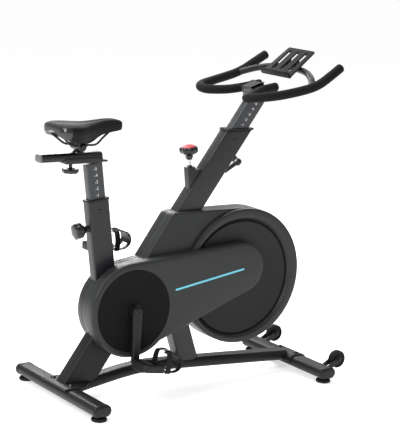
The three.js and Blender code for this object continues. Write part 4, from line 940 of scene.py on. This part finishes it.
def build_brake():
    lean = math.radians(BRAKE_LEAN)
    up = (-math.sin(lean), 0, math.cos(lean))
    at = (BRAKE[0], 0, BRAKE[1])
    rod = turned("brake_push_rod", [(0, -268), (4, -268), (4, 36), (0, 36)], at, up, 24)
    piece(rod, STEEL, "brake", "steel", "brake_rod")
    gland = turned("brake_gland", [(0, -1), (10, -1), (10, 3), (7, 6), (0, 6)], at, up, 6)
    piece(gland, GLOSS, "frame", "frame_charcoal")
    knob = turned("tension_knob", TENSION_KNOB, at, up, 84, 7, 0.10)
    piece(knob, GLOSS, "brake_knob", "gloss_black", "resistance_knob")
    cap = turned("tension_knob_cap", TENSION_CAP, at, up, 56)
    piece(cap, RED, "brake_knob", "knob_red", "knob_cap")


# ------------------------------------------------------------------ cranks and pedals
CRANK_BOSS = [(0, 70), (21, 70), (22, 72), (22, 96), (0, 96)]
CRANK_NUT = [(0, 112), (13.5, 112), (13.5, 115.5), (12, 117), (5, 117.4), (4, 115), (0, 115)]
PEDAL_SPINDLE = [(0, 92), (7, 92), (7, 117), (10, 118), (10, 126), (6.4, 127), (6.4, 210), (0, 210)]
PEDAL_WINDOW_HIGH = 32
CAGE_START = PEDAL_FRONT + 1.5
CAGE_HOOP = [(0, -10), (26, -12), (52, -9), (68, 4), (72, 22), (64, 40), (44, 51), (20, 54), (2, 52)]
STRAP_AT = CAGE_START + 12
STRAP_POINTS = [
    (134, -14), (131, 6), (132, 30), (140, 50), (158, 58),
    (190, 58), (208, 50), (216, 30), (217, 6), (214, -14),
]


def build_cranks():
    """Both arms are cast alike; the right one hangs down while the left one stands up."""
    for name, side in SIDES:

        def where(u, v, h, side=side):
            return place(CRANK[0] + u, h * side, CRANK[1] - v * side)

        axle = (CRANK[0], 0, CRANK[1])
        outward = (0, side, 0)
        outline = arc(0, 0, 18, 0, 180, 16) + [(-12, -CRANK_LENGTH + 6)]
        outline += arc(0, -CRANK_LENGTH, 13.5, 174, 366, 16)
        arm = prism("arm", outline, edge_layers(ARM_IN, ARM_OUT, 5, 5, 4), where)
        boss = turned("boss", CRANK_BOSS, axle, outward, 40)
        nut = turned("nut", CRANK_NUT, axle, outward, 40)
        spindle_z = CRANK[1] + side * CRANK_LENGTH
        spindle = turned("spindle", PEDAL_SPINDLE, (CRANK[0], 0, spindle_z), outward, 32)
        crank = merge(f"crank_arm_{name}_forging", arm, boss, nut, spindle)
        piece(crank, BLACK, "crank", "gloss_black", f"crank_arm_{name}")
        build_pedal(name, side, spindle_z, PEDAL_PITCH if side < 0 else 0)


def build_pedal(name, side, spindle_z, pitch):
    turn = math.radians(pitch)
    body = "pedal_" + name[0]

    def at(x, y, h):
        """Pedal coordinates: x forward, y outwards from the bike's middle, h up."""
        across, height = turn_outline([(x, h)], turn, (CRANK[0], spindle_z))[0]
        return place(across, side * y, height)

    build_pedal_block(name, body, at)
    build_toe_cage(name, body, at)
    build_toe_strap(name, body, at)


def upright_box(name, x0, x1, y0, y1, layers, at):
    """A box on the pedal, between two places fore and aft and two places across."""
    return prism(name, [(x0, y0), (x1, y0), (x1, y1), (x0, y1)], layers, at)


def build_pedal_block(name, body, at):
    """The foot plate with four windows, and a row of teeth along its front and rear edges."""
    near, far, half, rear = PEDAL_NEAR, PEDAL_FAR, PEDAL_FRONT, PEDAL_REAR
    outline = [
        (rear + 10, near), (half - 6, near), (half, near + 6), (half, far - 6), (half - 6, far),
        (rear + 10, far), (rear, far - 10), (rear, near + 10),
    ]
    block = prism("block", outline, edge_layers(-12, 12, 2.5, 2.5, 3), at)
    holes = []
    for x0, x1 in ((-26, -12), (14, 37)):
        for row in range(2):
            y0 = near + 11 + row * 37
            holes.append(upright_box("hole", x0, x1, y0, y0 + PEDAL_WINDOW_HIGH, [(-20, 0), (20, 0)], at))
    parts = [carve(block, *holes)]
    for x0, x1 in ((rear + 0.5, rear + 6), (half - 6, half - 0.5)):
        for i in range(7):
            y0 = near + 10 + i * 11
            parts.append(upright_box("tooth", x0, x1, y0, y0 + 5, edge_layers(-14, 14, 1, 1, 1), at))
    piece(merge(f"pedal_{name}_block", *parts), BLACK, body, "black_plastic", f"pedal_{name}")


def side_path(points, steps):
    """A smooth path of (x, height) points on the pedal, measured forward of the cage's start."""
    path = catmull([(CAGE_START + x, 0, h) for x, h in points], steps)
    return [(q.x, q.z) for q in path]


def build_toe_cage(name, body, at):
    """Two hoops over the toes, joined by a band in front and by a foot on the pedal."""
    cage = []
    for y in (150, 198):
        cage.append(band("hoop", side_path(CAGE_HOOP, 6), y - 8, y + 8, 3.2, at))
    cage.append(band("toe", side_path(CAGE_HOOP[3:6], 6), 150, 198, 3.0, at))
    cage.append(band("heel", side_path([(-2, -10), (12, -11), (24, -12)], 4), 140, 208, 3.4, at))
    piece(merge(f"toe_cage_{name}_shell", *cage), BLACK, body, "black_plastic", f"toe_cage_{name}")


def build_toe_strap(name, body, at):
    run = catmull([(STRAP_AT, y, h) for y, h in STRAP_POINTS], 6)
    strap = strap_band(f"toe_strap_{name}", run, 20, 1.6, at)
    piece(strap, RUBBER, body, "rubber")
    layers = edge_layers(57.4, 62.4, 1, 1.5, 2)
    buckle = prism(f"toe_buckle_{name}", rounded_box(26, 20, 3), layers,
                   lambda u, v, h: at(STRAP_AT + v, PEDAL_MID + u, h))
    piece(buckle, STEEL, body, "steel")


def band(name, path, y0, y1, thick, where):
    """A flat band that follows a path of (x, height) and spans y0 to y1."""
    points = []
    last = len(path) - 1
    for i, (x, h) in enumerate(path):
        before = Vector(path[max(i - 1, 0)])
        after = Vector(path[min(i + 1, last)])
        t = (after - before).normalized()
        n = Vector((-t.y, t.x)) * thick / 2
        points += [where(x + n.x, y0, h + n.y), where(x + n.x, y1, h + n.y)]
        points += [where(x - n.x, y1, h - n.y), where(x - n.x, y0, h - n.y)]
    return mesh_object(name, points, skin(len(path), 4))


def strap_band(name, run, wide, thick, where):
    """A strap across the pedal: its path lies in a plane of constant x."""
    points = []
    last = len(run) - 1
    for i, q in enumerate(run):
        t = (run[min(i + 1, last)] - run[max(i - 1, 0)]).normalized()
        n = Vector((0, -t.z, t.y)) * thick / 2
        for sx, sn in ((-1, 1), (1, 1), (1, -1), (-1, -1)):
            points.append(where(q.x + sx * wide / 2, q.y + sn * n.y, q.z + sn * n.z))
    return mesh_object(name, points, skin(len(run), 4))


# ------------------------------------------------------------------ pieces inside the shroud
INNER = {
    "drive_frame": PAINT,
    "bottom_bracket": STEEL,
    "crank_axle": STEEL,
    "crank_pulley": BLACK,
    "drive_belt": RUBBER,
    "flywheel": IRON,
    "flywheel_axle": STEEL,
    "magnet_bracket": STEEL,
}


def finish_inner():
    for node, material in INNER.items():
        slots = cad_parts[node].data.materials
        slots.clear()
        slots.append(material)


# ------------------------------------------------------------------ stage, light and camera
FLOOR_HALF = 60                  # metres
CAMERA_AT = (-3.0466, -4.4839, 1.6707)
CAMERA_AIM = (-34.6, 11.3, 3.0)  # degrees: turn about Z, height above the floor, roll
CAMERA_LENS = 135.37


def build_stage():
    mesh = bpy.data.meshes.new("floor")
    size = FLOOR_HALF
    corners = [(-size, -size, 0), (size, -size, 0), (size, size, 0), (-size, size, 0)]
    mesh.from_pydata(corners, [], [(0, 1, 2, 3)])
    floor = bpy.data.objects.new("floor", mesh)
    bpy.context.collection.objects.link(floor)
    mat = bpy.data.materials.new("floor_white")
    mat.use_nodes = True
    shader = mat.node_tree.nodes["Principled BSDF"]
    shader.inputs["Base Color"].default_value = (0.92, 0.92, 0.92, 1)
    shader.inputs["Roughness"].default_value = 0.9
    shader.inputs["Emission Color"].default_value = (1, 1, 1, 1)
    shader.inputs["Emission Strength"].default_value = 0.52
    mesh.materials.append(mat)
    world = bpy.data.worlds.new("studio")
    bpy.context.scene.world = world
    world.use_nodes = True
    world.node_tree.nodes["Background"].inputs["Color"].default_value = (1, 1, 1, 1)
    world.node_tree.nodes["Background"].inputs["Strength"].default_value = 0.5


def soft_box(name, at, aim, size, power):
    light = bpy.data.lights.new(name, "AREA")
    light.shape = "RECTANGLE"
    light.size, light.size_y = size
    light.energy = power
    obj = bpy.data.objects.new(name, light)
    obj.location = at
    obj.rotation_euler = (Vector(aim) - Vector(at)).to_track_quat("-Z", "Y").to_euler()
    bpy.context.collection.objects.link(obj)


def build_camera():
    az, el, roll = [math.radians(angle) for angle in CAMERA_AIM]
    back = Vector((math.sin(az) * math.cos(el), -math.cos(az) * math.cos(el), math.sin(el)))
    right = Vector((math.cos(az), math.sin(az), 0))
    up = back.cross(right)
    c, s = math.cos(roll), math.sin(roll)
    right, up = c * right + s * up, -s * right + c * up
    turn = Matrix((right, up, back)).transposed().to_4x4()
    data = bpy.data.cameras.new("camera")
    data.lens = CAMERA_LENS
    data.sensor_width = 36
    data.shift_x = 0.006
    data.shift_y = -0.0018
    data.clip_end = 60
    camera = bpy.data.objects.new("camera", data)
    camera.matrix_world = Matrix.Translation(Vector(CAMERA_AT)) @ turn
    bpy.context.collection.objects.link(camera)
    bpy.context.scene.camera = camera


build_base()
build_shroud()
build_tubes()
build_seat()
build_handlebar()
build_brake()
build_cranks()
finish_inner()
build_stage()
soft_box("top", (-0.6, 1.0, 3.4), (0.0, 0, 0.5), (3.4, 1.8), 120)
soft_box("key", (-3.4, -1.2, 2.4), (0, 0, 0.5), (1.2, 2.0), 75)
soft_box("rim", (0.7, 2.8, 1.8), (-0.1, 0, 0.4), (1.4, 1.0), 34)
soft_box("edge", (2.4, 2.2, 2.4), (0.2, 0, 0.5), (1.0, 1.6), 20)
build_camera()
bpy.context.scene.view_settings.view_transform = "Standard"
bpy.context.scene.view_settings.look = "None"
